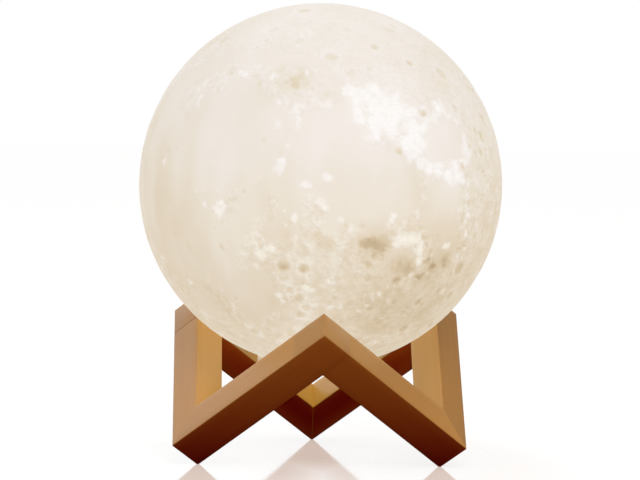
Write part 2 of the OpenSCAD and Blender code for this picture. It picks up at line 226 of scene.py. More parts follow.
# How the moon stands in the globe: its near side's middle turned this far from
# the viewer, and its north end tilted towards the viewer and to the left.
NEAR_SIDE_TURN = math.radians(-14.92)
NORTH_FORWARD = math.radians(10.60)
NORTH_LEFT = math.radians(-10.44)

# Dark plains as round lobes: latitude, longitude and radius in degrees
PLAINS = (
    # Sea of Rains and its bays
    (34, -17, 18.0), (33, -1.5, 6.6), (38, 0.5, 5.4), (26.8, 0.2, 2.4), (44.2, -31.5, 4.0),
    # Sea of Cold, a band along the north
    (57.5, -37, 3.2), (59.5, -29, 3.2), (60.0, -20, 3.2), (59.0, -11, 3.2),
    (57.0, -3, 3.0), (56.5, 4, 3.0), (56.0, 11, 2.8), (54.5, 19, 2.8), (52.0, 26, 2.6),
    # Sea of Serenity, Lake of Dreams, Lake of Death
    (28, 18, 11.6), (37.5, 30.5, 3.4), (45.0, 27.2, 2.3),
    # Sea of Tranquillity and its bays
    (18.5, 24.0, 4.5), (9, 27, 8.8), (9.5, 36, 8.0), (14, 31, 7.5), (2.5, 30, 6.5),
    (-1, 25, 4.6), (6, 22, 4.5), (18.5, 37.5, 3.2), (11, 42.5, 3.0), (4, 40, 4.5),
    (-5, 27, 3.2), (-8.5, 28.5, 2.6),
    # Sea of Nectar
    (-15.3, 34.8, 5.2),
    # Sea of Fertility
    (-3.5, 50.5, 6.6), (-9, 53, 6.0), (-15, 52.5, 4.6), (-20, 51, 2.6), (2, 50.5, 4.8),
    (-2, 45.5, 3.6), (2, 56, 4.0),
    # Sea of Crises, and the small seas beyond it
    (17, 56.0, 6.2), (17.2, 61.8, 6.0), (6.5, 68.8, 2.2), (1.2, 65.0, 1.8),
    (13, 86, 4.5), (0, 87, 5.8), (56.8, 81.5, 3.4), (-45, 92, 4), (-38, 88, 3),
    # Sea of Vapours, Central Bay, Bay of Billows
    (13.5, 3.6, 4.0), (2.2, 1.0, 3.8), (1.5, -4.5, 3.0), (11, -8.5, 4.6),
    (17, 11, 5.0), (12, 17, 5.5), (21, 5, 4.5), (9, 18, 4.0), (7.5, 3, 4.0), (19, -3, 5.0),
    (4, 18.5, 4.0), (2.5, 21.5, 4.0), (1.5, 15, 3.0), (16, -8, 5.0), (24, -2, 4.0),
    # Sea of Islands and the Known Sea
    (6, -31, 8.0), (1, -25, 5.5), (0, -18.5, 4.4), (4.5, -13.5, 4.4), (-10.5, -23, 6.4),
    (15, -30, 7.0), (17.5, -20, 5.0),
    # Sea of Clouds
    (-20, -16, 8.8), (-14, -13, 5.2), (-27, -18, 4.0), (-23, -10.5, 3.6), (-13, -20, 5.0),
    # Sea of Moisture, Marsh of Epidemics
    (-24, -39, 6.2), (-32, -28, 3.2),
    # Ocean of Storms
    (20, -57, 13.0), (35, -60, 10.0), (46, -57, 8.0), (52, -48, 5.5), (10, -50, 12.0),
    (0, -45, 11.0), (-5, -35, 8.0), (8, -61, 9.0), (-3, -56, 6.5), (29, -45, 10.0),
    (17, -40, 9.0), (-10, -45, 6.5), (-14, -36, 4.0), (27, -36, 7.0),
    # Dark floors near the west edge, and on the far side
    (-5.4, -68.4, 2.7), (-19.5, -94.5, 4.2), (27, 148, 4.4), (-20.4, 129, 2.8),
    (-34, 164, 4.2), (-36, -151, 4.0), (-5, -165, 2.0), (34, 172, 1.6),
)

# Middle of the Sea of Crises: latitude, longitude
CRISES_MIDDLE = (17.0, 59.0)

# Land inside those lobes: latitude, longitude, radius
ISLANDS = (
    (22.0, 1.4, 1.4), (38.0, 9.6, 2.4), (34.0, 9.0, 1.6), (42, 5.5, 2.2),
    (46.0, 0.0, 2.8), (49.5, -5.0, 2.8), (48.0, 5, 3.2), (52.5, -12, 2.2),
    (6.4, 9.0, 2.2), (8.6, 12.0, 1.6), (3.6, 8.5, 2.4),
    (-3.0, -21.0, 1.6), (-1.0, 21.0, 1.8), (48, -31, 2.4), (45, -36, 1.4),
    (27.5, -41.0, 1.2), (45.7, -24.5, 0.5),
)

# Rounded ridges: start and end (latitude, longitude), half width, brightness,
# which counts by the share RIDGE_SHINE
RIDGE_SHINE = 0.35
RIDGES = (
    (14.5, -12.5, 18.0, -5.5, 1.3, 0.1), (18.0, -5.5, 22.5, 1.0, 1.4, 0.2),
    (22.5, 1.0, 27.5, 5.0, 1.2, 0.6), (31.5, 8.2, 37.5, 9.8, 1.1, 0.8),
    (37.5, 9.8, 42.0, 5.5, 1.1, 0.7), (42.0, 5.0, 47.5, 0.5, 1.1, 0.8),
    (47.5, 0.5, 51.0, -5.0, 1.0, 0.9), (51.0, -5.0, 54.0, -9.5, 0.8, 0.9),
    (54.0, -9.5, 52.5, -17.0, 0.7, 0.8), (52.5, -17.0, 50.0, -26.0, 0.7, 0.7),
    (50.0, -26.0, 48.5, -34.0, 0.9, 0.9), (48.5, -34.0, 45.0, -38.5, 0.8, 0.9),
    (45.0, -38.5, 41.5, -37.0, 0.6, 0.8), (47.5, -41.0, 46.0, -49.0, 0.8, 0.6),
    (38.5, 10.5, 37.6, 21.5, 0.9, 0.8), (39.8, 12.0, 43.5, 22.0, 0.9, 0.4),
    (14.5, -20.5, 15.0, -28.5, 1.0, 0.4), (-16.0, 19.5, -23.5, 23.0, 1.0, 0.5),
    (-23.5, 23.0, -29.0, 31.0, 1.1, 0.6), (-23.6, 30.0, -36.3, 17.0, 0.7, 0.8),
    (-36.3, 17.0, -43.0, 5.0, 0.7, 0.6), (-7.0, 34.0, -10.5, 42.0, 1.8, 0.9),
    (-10.5, 42.0, -17.5, 42.0, 1.4, 0.8), (-1.0, 63.0, -8.5, 62.5, 1.0, 0.9),
    (-8.5, 62.5, -15.0, 61.5, 0.9, 0.6), (-15.0, 61.5, -24.5, 57.5, 1.2, 0.7),
    (8.0, 52.0, 3.5, 62.0, 2.0, 0.9), (3.5, 62.0, 9.0, 69.0, 1.4, 0.7),
    (9.0, 69.5, 20.0, 70.0, 1.8, 0.6), (20.0, 70.0, 27.0, 62.0, 1.8, 0.6),
)

# Bright splashes, given in the photograph: pixels across and down,
# radius in pixels, brightness
SPLASHES = (
    # Sea of Rains, its mountains and the north
    (190, 91, 2.4, 0.8), (198, 89, 2.2, 0.6), (204, 86, 3.2, 0.65), (211, 86, 3, 0.55),
    (201, 96, 1.7, 0.7), (199, 101, 1.6, 0.7), (197, 106, 1.8, 0.8), (206, 81, 2.5, 0.45),
    (213, 78, 2, 0.5), (217, 75, 2.8, 0.6), (223, 73, 2.8, 0.5), (226, 82, 2.3, 0.5),
    (219, 90, 2.2, 0.6), (240, 73, 2.4, 0.8), (245, 76, 2.6, 1), (249, 78, 1.8, 0.8),
    (251, 71, 2, 0.6), (257, 66, 2.4, 0.5), (264, 84, 1.7, 0.5), (270, 87, 1.7, 0.5),
    (276, 90, 1.8, 0.45), (274, 77, 3.2, 0.75), (268, 70, 2.6, 0.4), (276, 96, 1.8, 0.5),
    (278, 101, 2.3, 0.95), (286, 105, 2.4, 0.6), (289, 113, 1.8, 0.4), (246, 87, 1.4, 0.35),
    (277, 125, 3.6, 0.55), (277, 138, 4, 0.2), (287, 147, 2.4, 0.4), (281, 162, 2.8, 1.1),
    (280, 168, 3.8, 1.2), (277, 172, 3.2, 0.8), (288, 158, 1.8, 0.3), (258, 183, 2, 0.3),
    # round the Sea of Serenity
    (297, 108, 4.2, 0.65), (297, 115, 4, 0.75), (299, 121, 3, 0.8), (304, 106, 2.6, 0.55),
    (312, 104, 2.4, 0.6), (320, 105, 2.4, 0.65), (328, 105, 2.4, 0.6), (310, 90, 2.3, 0.5),
    (308, 73, 3.2, 0.7), (314, 72, 2.6, 0.5), (336, 69, 2.3, 0.5), (295, 74, 2.2, 0.4),
    (348, 62, 2.2, 0.4), (349, 71, 2.2, 0.5), (348, 80, 2.2, 0.4), (306, 186, 2.8, 1.2),
    (310, 187, 2, 0.8), (302, 185, 1.6, 0.6), (328, 178, 3, 1.2), (324, 177, 1.8, 0.5),
    # the bright highland and the ring round the Sea of Crises
    (345, 92, 4, 0.85), (352, 93, 5, 0.9), (357, 101, 4, 0.8), (358, 112, 4.2, 1.1),
    (360, 120, 3.4, 1.1), (366, 95, 5, 0.8), (374, 90, 5, 0.8), (372, 104, 6, 0.85),
    (385, 100, 6, 0.8), (396, 100, 6, 0.7), (384, 113, 7, 1), (396, 113, 7, 1), (376, 124, 6, 1),
    (378, 134, 5, 0.95), (390, 127, 7, 1.1), (392, 137, 5, 0.95), (410, 113, 6, 0.9),
    (413, 124, 6, 1), (414, 136, 6, 1.1), (408, 146, 6, 1), (416, 154, 6, 1.1), (421, 163, 5, 1),
    (424, 145, 4, 0.95), (424, 130, 3.2, 0.95), (428, 122, 3, 0.85), (424, 108, 4, 0.6),
    (410, 160, 3.6, 0.8), (430, 170, 4.5, 1), (436, 106, 3.2, 0.85), (442, 109, 3, 0.8),
    (438, 112, 3, 0.8), (447, 117, 2.2, 0.8), (439, 172, 5, 1.1), (449, 176, 5.4, 1.1),
    (458, 178, 5, 1.1), (464, 182, 3, 0.9), (452, 185, 2.6, 0.9), (469, 185, 2, 0.8),
    (458, 167, 3, 0.8), (466, 154, 3.4, 0.95), (468, 161, 3, 0.8), (464, 146, 2, 1),
    (466, 130, 2, 0.6), (469, 140, 2, 0.6), (453, 108, 2.4, 0.5), (440, 102, 3, 0.45),
    # middle of the near side, the south and the Ocean of Storms
    (260, 253, 2.4, 1), (259, 256, 2.8, 1.1), (263, 260, 2.4, 1), (270, 251, 2.9, 1.1),
    (284, 213, 1.8, 0.75), (285, 226, 1.7, 0.7), (295, 220, 2.6, 1.1), (295, 238, 1.6, 0.6),
    (319, 203, 2.8, 0.8), (322, 206, 2.8, 0.8), (325, 210, 2.6, 0.55), (340, 221, 2, 1.2),
    (308, 290, 3.4, 0.75), (313, 294, 2.6, 0.5), (279, 298, 3.6, 0.8), (284, 303, 3, 0.6),
    (284, 277, 1.7, 0.6), (327, 283, 2, 1), (285, 287, 2.2, 0.45), (276, 263, 3, 0.35),
    (288, 256, 3, 0.35), (350, 231, 2.6, 0.4), (357, 231, 2.6, 0.5), (363, 233, 2.6, 0.5),
    (369, 237, 2, 0.5), (345, 247, 6, 0.22), (330, 308, 3.4, 0.45), (340, 308, 3, 0.4),
    (219, 206, 3.4, 1.3), (219, 212, 3.9, 1.4), (204, 205, 2.4, 0.9), (196, 193, 2, 0.65),
    (163, 162, 2.4, 1.2), (241, 271, 1.6, 0.4), (202, 267, 1.8, 0.35), (226, 240, 1.8, 0.25),
    (190, 294, 4.4, 0.45), (196, 297, 2.2, 0.5), (190, 284, 3.4, 0.3), (224, 292, 2.4, 0.25),
    (244, 325, 2, 0.5), (252, 330, 3, 0.5), (262, 335, 3.4, 0.5), (233, 331, 3, 0.35),
    # Sea of Nectar, the Pyrenees and the east edge
    (393, 217, 2.8, 1.3), (392, 222, 2.2, 0.9), (389, 228, 2, 0.4), (397, 245, 4.2, 0.9),
    (403, 242, 4.4, 1.1), (410, 240, 4.4, 1.1), (417, 242, 4, 1.1), (423, 246, 3, 0.9),
    (418, 255, 3.6, 1), (419, 263, 3.6, 1.1), (421, 250, 3, 0.8), (446, 248, 2.6, 1.3),
    (450, 246, 1.8, 1), (438, 246, 1.9, 0.55), (433, 255, 2.6, 0.45), (436, 262, 2.4, 0.45),
    (466, 221, 3.6, 0.9), (469, 215, 2.4, 0.7), (467, 235, 2, 0.6), (466, 243, 2, 0.6),
    (465, 251, 2.3, 0.65), (458, 257, 2.3, 0.65), (475, 200, 3.2, 0.45), (411, 277, 2.8, 0.95),
    (415, 281, 2.2, 0.6), (404, 279, 2, 0.45), (402, 284, 1.8, 0.5), (395, 287, 1.8, 0.5),
    (388, 289, 2, 0.65), (380, 295, 2, 0.65), (373, 301, 2, 0.65), (366, 307, 2.6, 0.7),
    (358, 313, 1.8, 0.5), (350, 320, 1.8, 0.5), (426, 276, 2, 0.45), (445, 276, 1.6, 0.4),
    (402, 217, 1.6, 0.35), (405, 223, 2.2, 0.35), (395, 257, 3.4, 0.25),
)

# More splashes, most of them beyond the photograph's view: latitude, longitude
# and radius in degrees, brightness
FAR_SPLASHES = (
    (-43.3, -11.2, 2.8, 1), (-32.5, 54.2, 1.2, 0.8), (55, -60, 2, 0.5), (-5, -78, 1.6, 0.5),
    (-50, 0, 2.6, 0.5), (-48, 30, 2, 0.5), (-60, -40, 2.4, 0.5), (68, 20, 2, 0.5),
    (36, -150, 2.2, 0.9), (-4, 105, 2.6, 0.9), (5, 121, 2.2, 0.8), (22, 102, 2.4, 1),
    (-33, -128, 2, 0.8), (-62, -150, 2.4, 0.6), (55, 130, 2.2, 0.7), (0, -130, 2.6, 0.6),
    (-41, -165, 1.8, 0.7), (12, 160, 3, 0.6), (20, -120, 3, 0.5), (-18, 178, 2.6, 0.6),
)

# Brown hollows, given in the photograph: pixels across and down,
# radius in pixels, darkness
SHADES = (
    # Sea of Rains, its mountains and the north
    (217, 83, 3.4, 0.5), (197, 83, 4.2, 0.4), (212, 72, 2.2, 0.4), (238, 79, 3, 0.35),
    (254, 77, 3.2, 0.7), (268, 77, 3.4, 0.3), (190, 105, 4.4, 0.3), (168, 152, 3, 0.35),
    (280, 70, 3.8, 0.8), (287, 63, 3, 0.3), (293, 80, 3.2, 1), (295, 87, 2.9, 1.1),
    (303, 77, 3.4, 0.85), (302, 70, 3, 0.6), (307, 84, 3.2, 0.9), (292, 104, 2, 0.6),
    (292, 109, 2, 0.6), (308, 103, 2.5, 0.8), (281, 103, 1.7, 0.4), (326, 95, 2.6, 0.65),
    (335, 94, 3.4, 0.3), (343, 62, 2.4, 0.5), (343, 72, 2, 0.4), (341, 84, 2.2, 0.4),
    (285, 112, 4, 0.25), (286, 124, 4.5, 0.25), (291, 137, 5, 0.25), (283, 150, 2.6, 0.35),
    (280, 155, 1.8, 0.35), (288, 168, 3.4, 0.3), (307, 113, 1.8, 0.5), (312, 110, 2.6, 0.4),
    (340, 101, 6, 0.3), (323, 172, 3.4, 0.22), (321, 193, 3.6, 0.25),
    # the bright highland and the ring round the Sea of Crises
    (379, 104, 2.9, 0.9), (371, 103, 1.8, 0.4), (405, 108, 2.6, 0.6), (424, 115, 3, 0.9),
    (422, 124, 2, 0.6), (404, 130, 1.8, 0.7), (403, 136, 2.2, 0.85), (388, 146, 5, 0.5),
    (400, 152, 3, 0.95), (397, 64, 3, 0.7), (410, 64, 2.7, 1.2), (394, 79, 2.5, 0.5),
    (436, 85, 2.2, 0.5), (432, 99, 1.8, 0.4), (384, 60, 2.4, 0.4), (366, 132, 2.2, 0.45),
    (464, 123, 2.4, 0.55), (468, 135, 2.2, 0.4), (455, 116, 2.6, 0.45), (446, 109, 1.6, 0.35),
    (476, 131, 2, 0.9), (481, 135, 2.2, 1), (470, 146, 2, 0.7), (477, 145, 1.8, 0.4),
    (475, 152, 2.4, 0.55), (478, 158, 2.4, 0.4), (463, 167, 2.4, 0.95), (472, 178, 2.4, 0.45),
    (474, 165, 4, 0.25), (482, 117, 2.8, 1.1), (473, 90, 2.4, 0.9), (475, 105, 2.6, 0.5),
    (485, 123, 2.4, 0.6), (484, 172, 2, 0.9), (490, 166, 1.8, 0.6), (482, 200, 2.4, 0.5),
    (479, 190, 1.8, 0.35), (415, 172, 4.4, 0.22), (391, 31, 3.6, 1), (386, 29, 2.2, 0.7),
    (375, 48, 3, 0.8), (366, 52, 2.2, 0.35), (371, 56, 1.8, 0.3), (343, 18, 2.2, 0.4),
    (290, 51, 1.8, 0.3),
    # middle of the near side, the south and the Ocean of Storms
    (316, 207, 3.4, 0.45), (304, 214, 3.4, 0.3), (290, 222, 3, 0.4), (288, 235, 3, 0.35),
    (283, 244, 5, 0.3), (290, 248, 3.4, 0.4), (300, 222, 2.2, 0.3), (262, 247, 2.6, 0.45),
    (272, 258, 2.6, 0.3), (283, 269, 4.6, 0.85), (304, 270, 3.9, 0.7), (302, 284, 2.6, 0.6),
    (294, 279, 3, 0.35), (276, 285, 2.2, 0.4), (298, 300, 3, 0.65), (295, 310, 2.8, 0.35),
    (322, 293, 3, 0.55), (341, 287, 2.2, 0.35), (359, 298, 1.8, 0.45), (318, 238, 5.4, 0.6),
    (329, 247, 5.4, 0.6), (322, 247, 4.6, 0.5), (346, 227, 2.6, 0.45), (355, 228, 2.6, 0.5),
    (363, 227, 2.6, 0.45), (373, 228, 4, 0.3), (362, 245, 4, 0.7), (369, 244, 4.6, 1.1),
    (377, 246, 4.6, 1.1), (383, 253, 3.2, 0.8), (390, 234, 3.4, 0.3), (330, 262, 2, 0.2),
    (350, 270, 2.4, 0.2),
    # Sea of Nectar, the Pyrenees and the east edge
    (386, 248, 4.8, 0.8), (384, 241, 4.5, 0.5), (376, 255, 3.8, 0.6), (399, 266, 10, 0.45),
    (409, 273, 5.4, 0.6), (427, 262, 2.7, 1.1), (433, 268, 3.1, 1.1), (432, 252, 1.9, 0.9),
    (424, 238, 2.2, 0.7), (446, 261, 5.4, 0.75), (445, 268, 2.4, 0.5), (419, 279, 2.8, 1.1),
    (423, 275, 2.2, 0.7), (397, 281, 3, 0.7), (392, 286, 2.6, 0.4), (394, 266, 6, 0.35),
    (405, 272, 6, 0.45), (412, 262, 3.6, 0.4), (404, 258, 4.5, 0.25), (430, 239, 4.4, 0.35),
    (440, 240, 4.4, 0.35), (450, 240, 3.6, 0.35), (460, 250, 1.8, 0.9), (471, 242, 2.4, 0.55),
    (483, 233, 2, 0.7), (483, 240, 2, 0.6), (479, 252, 1.8, 0.5), (480, 257, 1.8, 0.4),
    (416, 286, 2.6, 0.3), (404, 231, 1.8, 0.3), (412, 230, 2.4, 0.35), (420, 229, 2.4, 0.3),
    (440, 290, 5, 0.2), (428, 305, 3.6, 0.25), (176, 226, 5, 0.35), (174, 236, 4.4, 0.35),
    (188, 246, 4.6, 0.3), (161, 246, 4.4, 0.3), (166, 256, 4.4, 0.25), (205, 287, 5, 0.35),
    (192, 256, 6, 0.2), (246, 334, 2.6, 0.25), (193, 299, 1.8, 0.45),
)

# More hollows, most of them beyond the photograph's view: latitude, longitude
# and radius in degrees, darkness
FAR_SHADES = (
    (-5.4, -68.4, 2.2, 0.7), (25, -52, 4, 0.25), (-20.4, 129, 2.8, 0.9), (27, 148, 4, 0.6),
    (-34, 164, 3.6, 0.7), (-36, -151, 4, 0.6), (10, 130, 2, 0.5), (-50, 100, 2.4, 0.5),
    (40, -170, 2.2, 0.5), (5, -110, 2.4, 0.5), (-8, -150, 2.8, 0.5), (60, 170, 2.2, 0.5),
)

# Broad tones: latitude, longitude, reach in degrees, brightness
TONES = (
    (28, 18, 11, 0.12), (34, -17, 16, 0.10), (17, 59, 7, 0.10), (32, 42, 13, 0.14),
    (22, 48, 7, 0.10), (12, 51, 5, 0.10), (6, 58, 5, 0.10), (36, 34, 7, 0.06),
    (24, 66, 6, 0.08), (10, 67, 6, 0.06), (10, 32, 9, 0.05), (4, 36, 8, 0.04),
    (68, 40, 25, 0.06), (62, -30, 20, 0.06), (42, -55, 16, 0.06),
    (-7, 26, 5, -0.11), (-16, 50, 8, -0.03), (-32, 45, 24, -0.17), (0, -80, 12, 0.07),
    (-20, 48, 5, -0.08), (1, 53, 7, 0.07), (11, -9, 9, 0.07), (3, -12, 8, 0.05),
    (-4, 8, 9, 0.03), (-15, 7, 8, 0.04), (-26, 0, 10, 0.05),
    (-42, 10, 18, -0.05), (-15, -45, 14, -0.05), (5, 70, 10, 0.04), (-25, -15, 12, -0.04),
    (49, 9, 5, -0.10), (-30, 20, 12, -0.05),
)

# Named-size craters: latitude, longitude, radius, depth as a share, peak
CRATERS = (
    (9.6, -20.1, 1.55, 1.0, 1), (51.6, -9.4, 1.66, 0.6, 0), (-43.3, -11.2, 1.45, 1.1, 1),
    (14.5, -11.3, 0.97, 0.9, 1), (29.7, -4.0, 1.35, 0.6, 0), (33.9, 1.2, 0.9, 0.8, 1),
    (30.7, 1.5, 0.65, 0.8, 0), (50.2, 17.4, 1.45, 0.9, 0), (44.3, 16.3, 1.1, 0.9, 0),
    (31.8, 29.9, 1.57, 0.7, 0), (46.7, 44.4, 1.45, 0.9, 1), (46.7, 39.1, 1.15, 0.9, 0),
    (53.9, 56.7, 2.05, 0.9, 0), (43.9, 66.3, 1.6, 0.9, 0), (27.7, 55.5, 2.05, 0.7, 0),
    (21.3, 46.0, 1.05, 0.7, 0), (-8.9, 61.0, 2.1, 0.9, 1), (-25.3, 60.4, 2.95, 0.8, 1),
    (-32.5, 54.2, 1.2, 0.8, 1), (-36.0, 60.6, 2.1, 0.7, 0), (-11.4, 26.4, 1.65, 1.0, 1),
    (-13.2, 24.1, 1.6, 0.7, 0), (-18.0, 23.4, 1.65, 0.8, 0), (-21.5, 33.2, 2.0, 0.5, 0),
    (-29.7, 32.2, 1.45, 0.9, 1), (-9.2, -1.8, 2.5, 0.7, 0), (-13.4, -2.8, 1.95, 0.7, 1),
    (-18.2, -1.9, 1.6, 1.0, 1), (-11.2, 4.0, 2.2, 0.9, 1), (-5.5, 4.8, 2.5, 0.5, 0),
    (-20.5, -7.8, 0.6, 0.7, 0), (-5.7, -2.1, 0.7, 1.0, 0), (-25.5, 1.9, 1.9, 0.8, 1),
    (-28.0, -0.7, 1.8, 0.7, 1), (-21.5, 0.5, 1.9, 0.6, 0), (-41.7, -0.8, 2.0, 0.7, 0),
    (-41.1, 6.0, 1.9, 0.8, 0), (-41.8, 14.0, 1.9, 0.8, 1), (-50.5, -6.3, 3.2, 0.7, 0),
    (-58.8, -14.1, 3.7, 0.8, 0), (-50.0, -21.5, 2.4, 0.7, 0), (-53.0, 5.5, 1.6, 0.8, 0),
    (-51.8, 21.5, 1.5, 0.8, 0), (-33.1, 1.0, 2.2, 0.5, 0), (-35.6, -22.5, 1.9, 0.4, 0),
    (-30.0, -13.5, 1.6, 0.5, 0), (-20.7, -22.2, 1.0, 0.9, 1), (-17.5, -40.0, 1.8, 0.6, 1),
    (23.7, -47.4, 0.75, 1.0, 0), (8.1, -38.0, 0.6, 1.0, 0), (3.3, -22.8, 0.8, 0.9, 0),
    (-0.3, -26.6, 0.65, 0.9, 0), (23.3, -29.2, 0.5, 0.9, 0), (26.7, -13.1, 0.6, 0.9, 0),
    (15.4, 23.7, 0.7, 0.9, 1), (14.5, 9.1, 0.65, 0.9, 0), (16.3, 16.0, 0.45, 0.9, 0),
    (-2.0, 45.0, 0.6, 0.5, 0), (5.6, 46.5, 0.95, 0.5, 0), (16.1, 46.8, 0.5, 1.0, 0),
    (-6.0, 35.5, 1.2, 0.5, 0), (-8.4, 40.9, 1.2, 0.5, 0), (-10.0, 45.0, 1.2, 0.6, 0),
    (-16.1, 42.5, 1.2, 0.5, 0), (-16.5, 61.6, 2.2, 0.6, 0), (-21.7, 52.0, 1.0, 0.6, 0),
    (4.1, 10.5, 0.75, 0.8, 0), (1.8, 10.2, 0.6, 0.8, 0), (-7.5, 17.3, 1.1, 0.5, 0),
    (-16.4, 13.9, 1.4, 0.6, 0), (-23.4, 12.0, 1.3, 0.6, 0), (-26.0, 16.5, 1.5, 0.7, 0),
    (-33.5, 13.0, 1.3, 0.7, 0), (-37.5, 27.5, 1.6, 0.7, 0), (-45.0, 40.0, 2.2, 0.7, 0),
    (-35.0, 45.0, 1.4, 0.6, 0), (-50.0, 60.0, 2.0, 0.7, 0), (36.0, 79.0, 2.9, 0.6, 0),
    (65.0, 15.0, 2.0, 0.6, 0), (70.0, 50.0, 1.8, 0.6, 0), (62.0, 38.0, 1.8, 0.5, 0),
    (73.0, -10.0, 2.2, 0.6, 0), (66.0, -60.0, 2.6, 0.6, 0), (58.0, -47.0, 0.7, 0.8, 0),
    (-52.0, -68.0, 3.6, 0.6, 0), (-44.0, -55.0, 3.7, 0.5, 0), (-29.0, -60.0, 1.5, 0.7, 0),
    (-3.3, -74.0, 2.3, 0.5, 0), (2.2, -67.6, 2.0, 0.5, 0), (-20.4, 129.0, 3.1, 1.0, 1),
    (22.0, 102.0, 0.8, 1.0, 0), (36.0, -150.0, 0.9, 1.0, 0), (-35.5, -151.5, 8.0, 0.5, 0),
    (27.3, 147.9, 5.0, 0.5, 0), (57.0, -82.0, 2.0, 0.7, 0), (-5.5, -157.0, 4.0, 0.6, 0),
    (2.0, -129.0, 4.2, 0.4, 0), (54.0, -145.0, 5.0, 0.5, 0), (-45.0, 152.0, 4.0, 0.5, 0),
    (12.0, 172.0, 2.4, 0.7, 0), (35.0, 122.0, 3.0, 0.6, 0), (-60.0, 130.0, 4.6, 0.5, 0),
    (-20.0, 160.0, 3.2, 0.6, 0), (6.0, 141.0, 2.6, 0.7, 0), (-26.0, -105.0, 3.0, 0.5, 0),
)


def moon_turn():
    """Rotation from the moon's own axes (near side's middle towards -Y, north
    up) to the globe: a turn about Z, a tilt about X, a lean about Y."""
    cz, sz = math.cos(NEAR_SIDE_TURN), math.sin(NEAR_SIDE_TURN)
    cx, sx = math.cos(NORTH_FORWARD), math.sin(NORTH_FORWARD)
    cy, sy = math.cos(NORTH_LEFT), math.sin(NORTH_LEFT)
    turn = np.array([[cz, -sz, 0], [sz, cz, 0], [0, 0, 1]])
    tilt = np.array([[1, 0, 0], [0, cx, -sx], [0, sx, cx]])
    lean = np.array([[cy, 0, sy], [0, 1, 0], [-sy, 0, cy]])
    return lean @ tilt @ turn


def on_moon(latitude, longitude):
    """Unit vector on the moon of a latitude and an east longitude."""
    la, lo = np.radians(latitude), np.radians(longitude)
    return np.stack([np.cos(la) * np.sin(lo), -np.cos(la) * np.cos(lo),
                     np.sin(la) + 0 * lo], -1)


def seen_at(across, down):
    """Unit vector from the globe's middle to what the photograph shows at a
    pixel. The ray from the eye at (0, -d, 0) along (u w, 1, v w), where
    w = 1 / sqrt(d^2 - 1) and (u, v) is the pixel in outline radii, meets the
    unit ball after (d - sqrt(1 - u^2 - v^2)) / (1 + (u^2 + v^2) w^2). Then
    the eye's axes are turned to the stand's."""
    u = (across - OUTLINE_ACROSS) / OUTLINE_R
    v = (OUTLINE_DOWN - down) / OUTLINE_R
    w = 1 / math.sqrt(EYE_DISTANCE ** 2 - 1)
    out = u * u + v * v
    t = (EYE_DISTANCE - math.sqrt(max(0, 1 - out))) / (1 + out * w * w)
    point = Vector((t * u * w, t - EYE_DISTANCE, t * v * w))
    point.rotate(Matrix.Rotation(math.radians(-CAMERA_ROLL), 3, "Y"))
    point.rotate(Matrix.Rotation(math.radians(-EYE_RISE), 3, "X"))
    point.rotate(Matrix.Rotation(math.radians(CAMERA_TURN), 3, "Z"))
    return np.array(point.normalized())


def place_marks(seen, far):
    """Centre on the moon, radius in degrees and strength of the marks given
    in the photograph and of those placed by latitude and longitude."""
    marks = [(seen_at(across, down) @ moon_turn(), math.degrees(r / OUTLINE_R), strength)
             for across, down, r, strength in seen]
    return marks + [(on_moon(la, lo), r, strength) for la, lo, r, strength in far]


def angle_to(points, centre):
    """Angle in degrees between unit vectors and one unit vector."""
    return np.degrees(np.arccos(np.clip(points @ centre, -1, 1)))


def shore_distance(moon):
    """Degrees from the shore, over 0 on land and under 0 on the plains: the
    least of (angle to a lobe's middle - its radius), rounded where two lobes
    meet, then the same for the land inside the lobes, then bent by noise."""
    away = np.zeros(len(moon))
    for latitude, longitude, radius in PLAINS:
        d = angle_to(moon, on_moon(latitude, longitude)) - radius
        away += np.exp(-np.clip(d, -30, 60) / 0.7)
    shore = -0.7 * np.log(away + 1e-30)
    shore += 1.5 * cloud_noise(moon, 7, 4, 11, 0.62)
    for latitude, longitude, radius in ISLANDS:
        d = radius - angle_to(moon, on_moon(latitude, longitude))
        shore = np.maximum(shore, d + 0.7 * cloud_noise(moon, 14, 2, 23))
    return shore


def ridge_lines(moon):
    """Height and brightness, 0 to 1, of the mountain arcs: a bell over the
    distance from each arc."""
    high, bright = np.zeros(len(moon)), np.zeros(len(moon))
    wander = 0.6 * cloud_noise(moon, 16, 3, 31)
    for la1, lo1, la2, lo2, width, shine in RIDGES:
        a, b = on_moon(la1, lo1), on_moon(la2, lo2)
        along = np.clip(((moon - a) @ (b - a)) / ((b - a) @ (b - a)), 0, 1)
        near = a + along[:, None] * (b - a)
        d = np.degrees(np.linalg.norm(moon - near, axis=1)) + wander
        bell = np.exp(-(d / width) ** 2)
        high = np.maximum(high, bell)
        bright = np.maximum(bright, bell * shine)
    return high, RIDGE_SHINE * bright


def patches(moon, marks, seed, bend, reach):
    """Union of bells exp(-(angle / (reach x radius))^2.2) times their strength,
    1 - the product of (1 - bell), over directions bent by up to the given
    degrees of noise."""
    left = np.ones(len(moon))
    bent = np.stack([cloud_noise(moon, 27, 3, seed + 10 * k, 0.6) for k in range(3)], -1)
    bent = moon + math.radians(bend) * bent
    bent /= np.linalg.norm(bent, axis=1)[:, None]
    for centre, radius, strength in marks:
        d = angle_to(bent, centre)
        bell = strength * np.exp(-(d / (reach * radius)) ** 2.2)
        left *= 1 - np.minimum(bell, 0.99)
    return 1 - left


def broad_tones(moon):
    """Sum of the bells exp(-(angle / reach)^2) times their brightness."""
    tone = np.zeros(len(moon))
    for latitude, longitude, reach, bright in TONES:
        d = angle_to(moon, on_moon(latitude, longitude))
        tone += bright * np.exp(-(d / reach) ** 2)
    return tone


